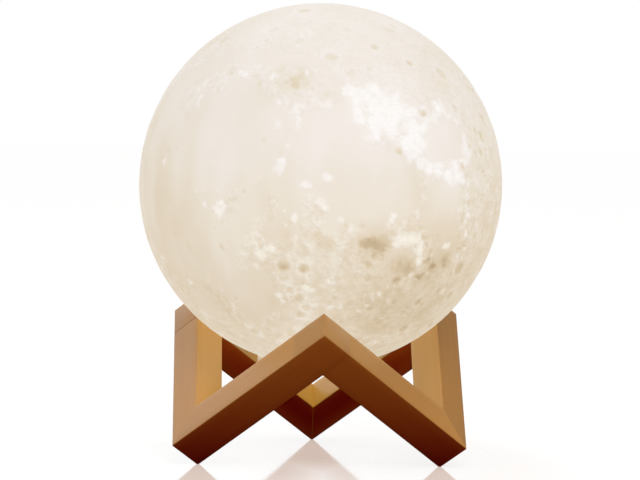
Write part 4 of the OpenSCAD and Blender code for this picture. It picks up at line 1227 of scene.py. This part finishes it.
foam = fine_material("foam_pad", fine, (0.060, 0.060, 0.062), (0.095, 0.095, 0.098),
                     0.85, 0.25, 0.00012)
foil = fine_material("battery_foil", fine, (0.55, 0.56, 0.58), (0.46, 0.47, 0.50),
                     0.34, 2.2, 0.00012, Metallic=0.9)
sleeve = fine_material("lead_sleeve", fine, (0.45, 0.012, 0.010), (0.36, 0.010, 0.008),
                       0.42)
frosted = fine_material("frosted_dome", fine, (0.86, 0.86, 0.83), (0.82, 0.82, 0.79),
                        0.55, 0.3, Emission_Color=(1.0, 0.90, 0.74, 1),
                        Emission_Strength=0.6)

BY_SLOT = {
    "dowel_wood": dowel_wood, "white_plastic": white_plastic,
    "button_plastic": button_plastic, "steel": plated, "board_green": board_green,
    "board_white": board_white, "black_plastic": black_plastic,
    "lamp_chip": lamp_gel, "clear_plastic": clear_pin, "foam": foam,
    "battery_foil": foil, "lead_sleeve": sleeve, "frosted_plastic": frosted,
    "bar_wood": bar_wood, "moon_shell": moon_print,
}
for part in frame["record"]["subparts"]:
    dress(part["node"], BY_SLOT[part["material_slot"]])

build_moon(moon_print)
# painted shade of each bar's upward faces: at the upper end, at the foot, beyond the joint
for seed, (name, turn, through, shadows) in enumerate((
        ("front_right_bar", 0, False, (0.32, 0.0, 0.32)),
        ("right_bar", 0, True, (0.29, 0.30, 0.29)),
        ("back_right_bar", 120, False, (0.24, 0.28, 0.24)),
        ("back_left_bar", 120, True, (0.15, 0.28, 0.15)),
        ("left_bar", 240, False, (0.12, 0.16, 0.12)),
        ("front_left_bar", 240, True, (0.20, 0.20, 0.32)))):
    build_bar(name + "_wood", turn, through, shadows, bar_wood, 7 + seed,
              SEEN_BUTT_EASE if name == "left_bar" else BUTT_EASE,
              BACK_MEETING_EDGE if name == "back_left_bar" else MEETING_EDGE)


# ------------------------------------------------------------------ stage

def build_floor():
    """A pale floor. Straight from the camera it is white, less its part of
    shade and of mirror image; the mirror fades away from the lamp."""
    size = 3.0
    mesh = bpy.data.meshes.new("floor")
    mesh.from_pydata([(-size, -size, 0), (size, -size, 0), (size, size, 0),
                      (-size, size, 0)], [], [(0, 1, 2, 3)])
    floor = bpy.data.objects.new("floor", mesh)
    bpy.context.scene.collection.objects.link(floor)
    material = bpy.data.materials.new("floor_pale")
    material.use_nodes = True
    g = Graph(material.node_tree)
    g.nodes.clear()
    out = g.add("ShaderNodeOutputMaterial")
    path = g.add("ShaderNodeLightPath").outputs
    place = g.add("ShaderNodeTexCoord").outputs["Object"]
    radius = g.add("ShaderNodeVectorMath", {0: place}, operation="LENGTH").outputs["Value"]
    nearest = 10.0
    for turn in (90, 210, 330):
        foot = (FOOT_CIRCLE * MM * math.cos(math.radians(turn)),
                FOOT_CIRCLE * MM * math.sin(math.radians(turn)), 0)
        step = g.add("ShaderNodeVectorMath", {0: place, 1: foot}, operation="SUBTRACT")
        # the image in the floor lies before each foot, narrow across
        step = g.add("ShaderNodeVectorMath", {0: step.outputs[0], 1: (2.2, 1.0, 1.0)},
                     operation="MULTIPLY")
        away = g.add("ShaderNodeVectorMath", {0: step.outputs[0]}, operation="LENGTH")
        nearest = g.math("MINIMUM", away.outputs["Value"], nearest)
    fade = g.ramp_value(nearest, 0.058, 0.172, 1.0, 0.0)
    mirror = g.mix(fade, (0, 0, 0, 1), (*FLOOR_MIRROR, 1))
    left = g.mix(fade, (1.0 - FLOOR_SHADE,) * 3 + (1,),
                 (*(1.0 - FLOOR_SHADE - m for m in FLOOR_MIRROR), 1))
    white = g.add("ShaderNodeEmission", {"Strength": 1.0})
    g.put(white.inputs["Color"], left)
    matt = g.add("ShaderNodeBsdfDiffuse", {"Color": (FLOOR_SHADE_COLOR,) * 3 + (1,)})
    gloss = g.add("ShaderNodeBsdfGlossy", {"Roughness": 0.07})
    g.put(gloss.inputs["Color"], mirror)
    seen = g.add("ShaderNodeAddShader")
    g.links.new(white.outputs[0], seen.inputs[0])
    g.links.new(matt.outputs[0], seen.inputs[1])
    seen2 = g.add("ShaderNodeAddShader")
    g.links.new(seen.outputs[0], seen2.inputs[0])
    g.links.new(gloss.outputs[0], seen2.inputs[1])
    # painted shade: for bounced light the floor is near black by the lamp and warm red further
    # out
    bounce = g.mix(g.ramp_value(radius, 0.06, 0.26), (0.03, 0.008, 0.002, 1),
                   (*FLOOR_BOUNCE, 1))
    soft = g.add("ShaderNodeBsdfDiffuse")
    g.put(soft.inputs["Color"], bounce)
    pick = g.add("ShaderNodeMixShader")
    g.put(pick.inputs[0], path["Is Camera Ray"])
    g.links.new(soft.outputs[0], pick.inputs[1])
    g.links.new(seen2.outputs[0], pick.inputs[2])
    # from below the floor isn't there, so that the underside can be seen
    below = g.add("ShaderNodeMixShader")
    g.put(below.inputs[0], g.add("ShaderNodeNewGeometry").outputs["Backfacing"])
    g.links.new(pick.outputs[0], below.inputs[1])
    g.links.new(g.add("ShaderNodeBsdfTransparent").outputs[0], below.inputs[2])
    g.links.new(below.outputs[0], out.inputs["Surface"])
    mesh.materials.append(material)


def build_world():
    """White straight ahead and in reflections, which are dimmer towards one
    side, and a plain soft light."""
    world = bpy.data.worlds.new("studio")
    bpy.context.scene.world = world
    world.use_nodes = True
    g = Graph(world.node_tree)
    g.nodes.clear()
    out = g.add("ShaderNodeOutputWorld")
    path = g.add("ShaderNodeLightPath").outputs
    seen = g.math("ADD", path["Is Camera Ray"], path["Is Transmission Ray"], clamp=True)
    soft = g.add("ShaderNodeBackground", {"Color": (1.0, 0.985, 0.97, 1),
                                          "Strength": WORLD_LIGHT})
    white = g.add("ShaderNodeBackground", {"Color": (1, 1, 1, 1), "Strength": 1.0})
    toward = g.add("ShaderNodeVectorMath", {
        0: g.add("ShaderNodeTexCoord").outputs["Generated"], 1: DIM_SIDE},
        operation="DOT_PRODUCT").outputs["Value"]
    gloss = g.add("ShaderNodeBackground", {"Color": (1, 1, 1, 1)})
    g.put(gloss.inputs["Strength"], g.ramp_value(toward, 0.68, 0.88, 1.0, 0.25))
    first = g.add("ShaderNodeMixShader")
    g.put(first.inputs[0], seen)
    g.links.new(soft.outputs[0], first.inputs[1])
    g.links.new(white.outputs[0], first.inputs[2])
    second = g.add("ShaderNodeMixShader")
    g.put(second.inputs[0], path["Is Glossy Ray"])
    g.links.new(first.outputs[0], second.inputs[1])
    g.links.new(gloss.outputs[0], second.inputs[2])
    g.links.new(second.outputs[0], out.inputs["Surface"])


def add_softbox(name, place, size, power, colour):
    """A square area light that looks at the lamp."""
    light = bpy.data.lights.new(name, "AREA")
    light.shape = "SQUARE"
    light.size = size
    light.energy = power
    light.color = colour
    lamp = bpy.data.objects.new(name, light)
    bpy.context.scene.collection.objects.link(lamp)
    lamp.location = place
    aim = Vector(LAMP_MIDDLE) - Vector(place)
    lamp.rotation_mode = "QUATERNION"
    lamp.rotation_quaternion = aim.to_track_quat("-Z", "Y")


def add_globe_light():
    """The globe's own light on the stand: a soft ball in its place, which
    reaches the bars alone."""
    light = bpy.data.lights.new("globe_light", "POINT")
    light.shadow_soft_size = 0.070
    light.energy = GLOBE_LIGHT
    light.color = (0.80, 1.0, 0.62)
    lamp = bpy.data.objects.new("globe_light", light)
    bpy.context.scene.collection.objects.link(lamp)
    lamp.location = (0, 0, GLOBE_Z * MM)
    globe = bpy.data.objects["body:globe"]      # it goes where the globe goes
    lamp.parent = globe
    lamp.matrix_parent_inverse = globe.matrix_world.inverted()
    bars = bpy.data.collections.new("lit_by_globe")
    for thing in bpy.data.objects:
        if thing.name.endswith("_bar_wood"):
            bars.objects.link(thing)
    lamp.light_linking.receiver_collection = bars
    lamp.light_linking.blocker_collection = bars


# Strengths and colours of the stage, places in metres, the feet's circle in
# millimetres
LAMP_MIDDLE = (0, 0, 0.09)
DIM_SIDE = (0.634, 0.634, 0.447)        # reflections are dimmer towards this side
GLOBE_LIGHT = 1.45
WORLD_LIGHT = 0.62
FLOOR_BOUNCE = (0.44, 0.26, 0.18)
FLOOR_SHADE = 0.10
FLOOR_SHADE_COLOR = 0.14
FLOOR_MIRROR = (0.335, 0.44, 0.50)
FOOT_CIRCLE = 57.0


def build_camera():
    turn = Matrix.Rotation(math.radians(CAMERA_TURN), 3, "Z")
    rise, roll = math.radians(CAMERA_RISE), math.radians(CAMERA_ROLL)
    back = Vector((0, -math.cos(rise), math.sin(rise)))
    side = Vector((1, 0, 0))
    up = back.cross(side)
    right = side * math.cos(roll) + up * math.sin(roll)
    top = up * math.cos(roll) - side * math.sin(roll)
    place = (Vector(TARGET) + back * CAMERA_DISTANCE) * MM
    data = bpy.data.cameras.new("camera")
    data.sensor_width = 36.0
    data.lens = CAMERA_FOCUS / PICTURE_WIDTH * data.sensor_width
    data.clip_start, data.clip_end = 0.05, 20.0
    camera = bpy.data.objects.new("camera", data)
    bpy.context.scene.collection.objects.link(camera)
    axes = Matrix((turn @ right, turn @ top, turn @ back)).transposed()
    camera.matrix_world = Matrix.Translation(turn @ place) @ axes.to_4x4()
    bpy.context.scene.camera = camera


build_floor()
build_world()
add_softbox("softbox_front", (0.15, -0.95, 1.05), 0.8, 9.0, (1.0, 0.98, 0.96))
add_softbox("softbox_top", (0.2, 0.1, 1.3), 0.9, 4.0, (1.0, 0.98, 0.95))
add_globe_light()
build_camera()
bpy.context.scene.view_settings.view_transform = "Standard"
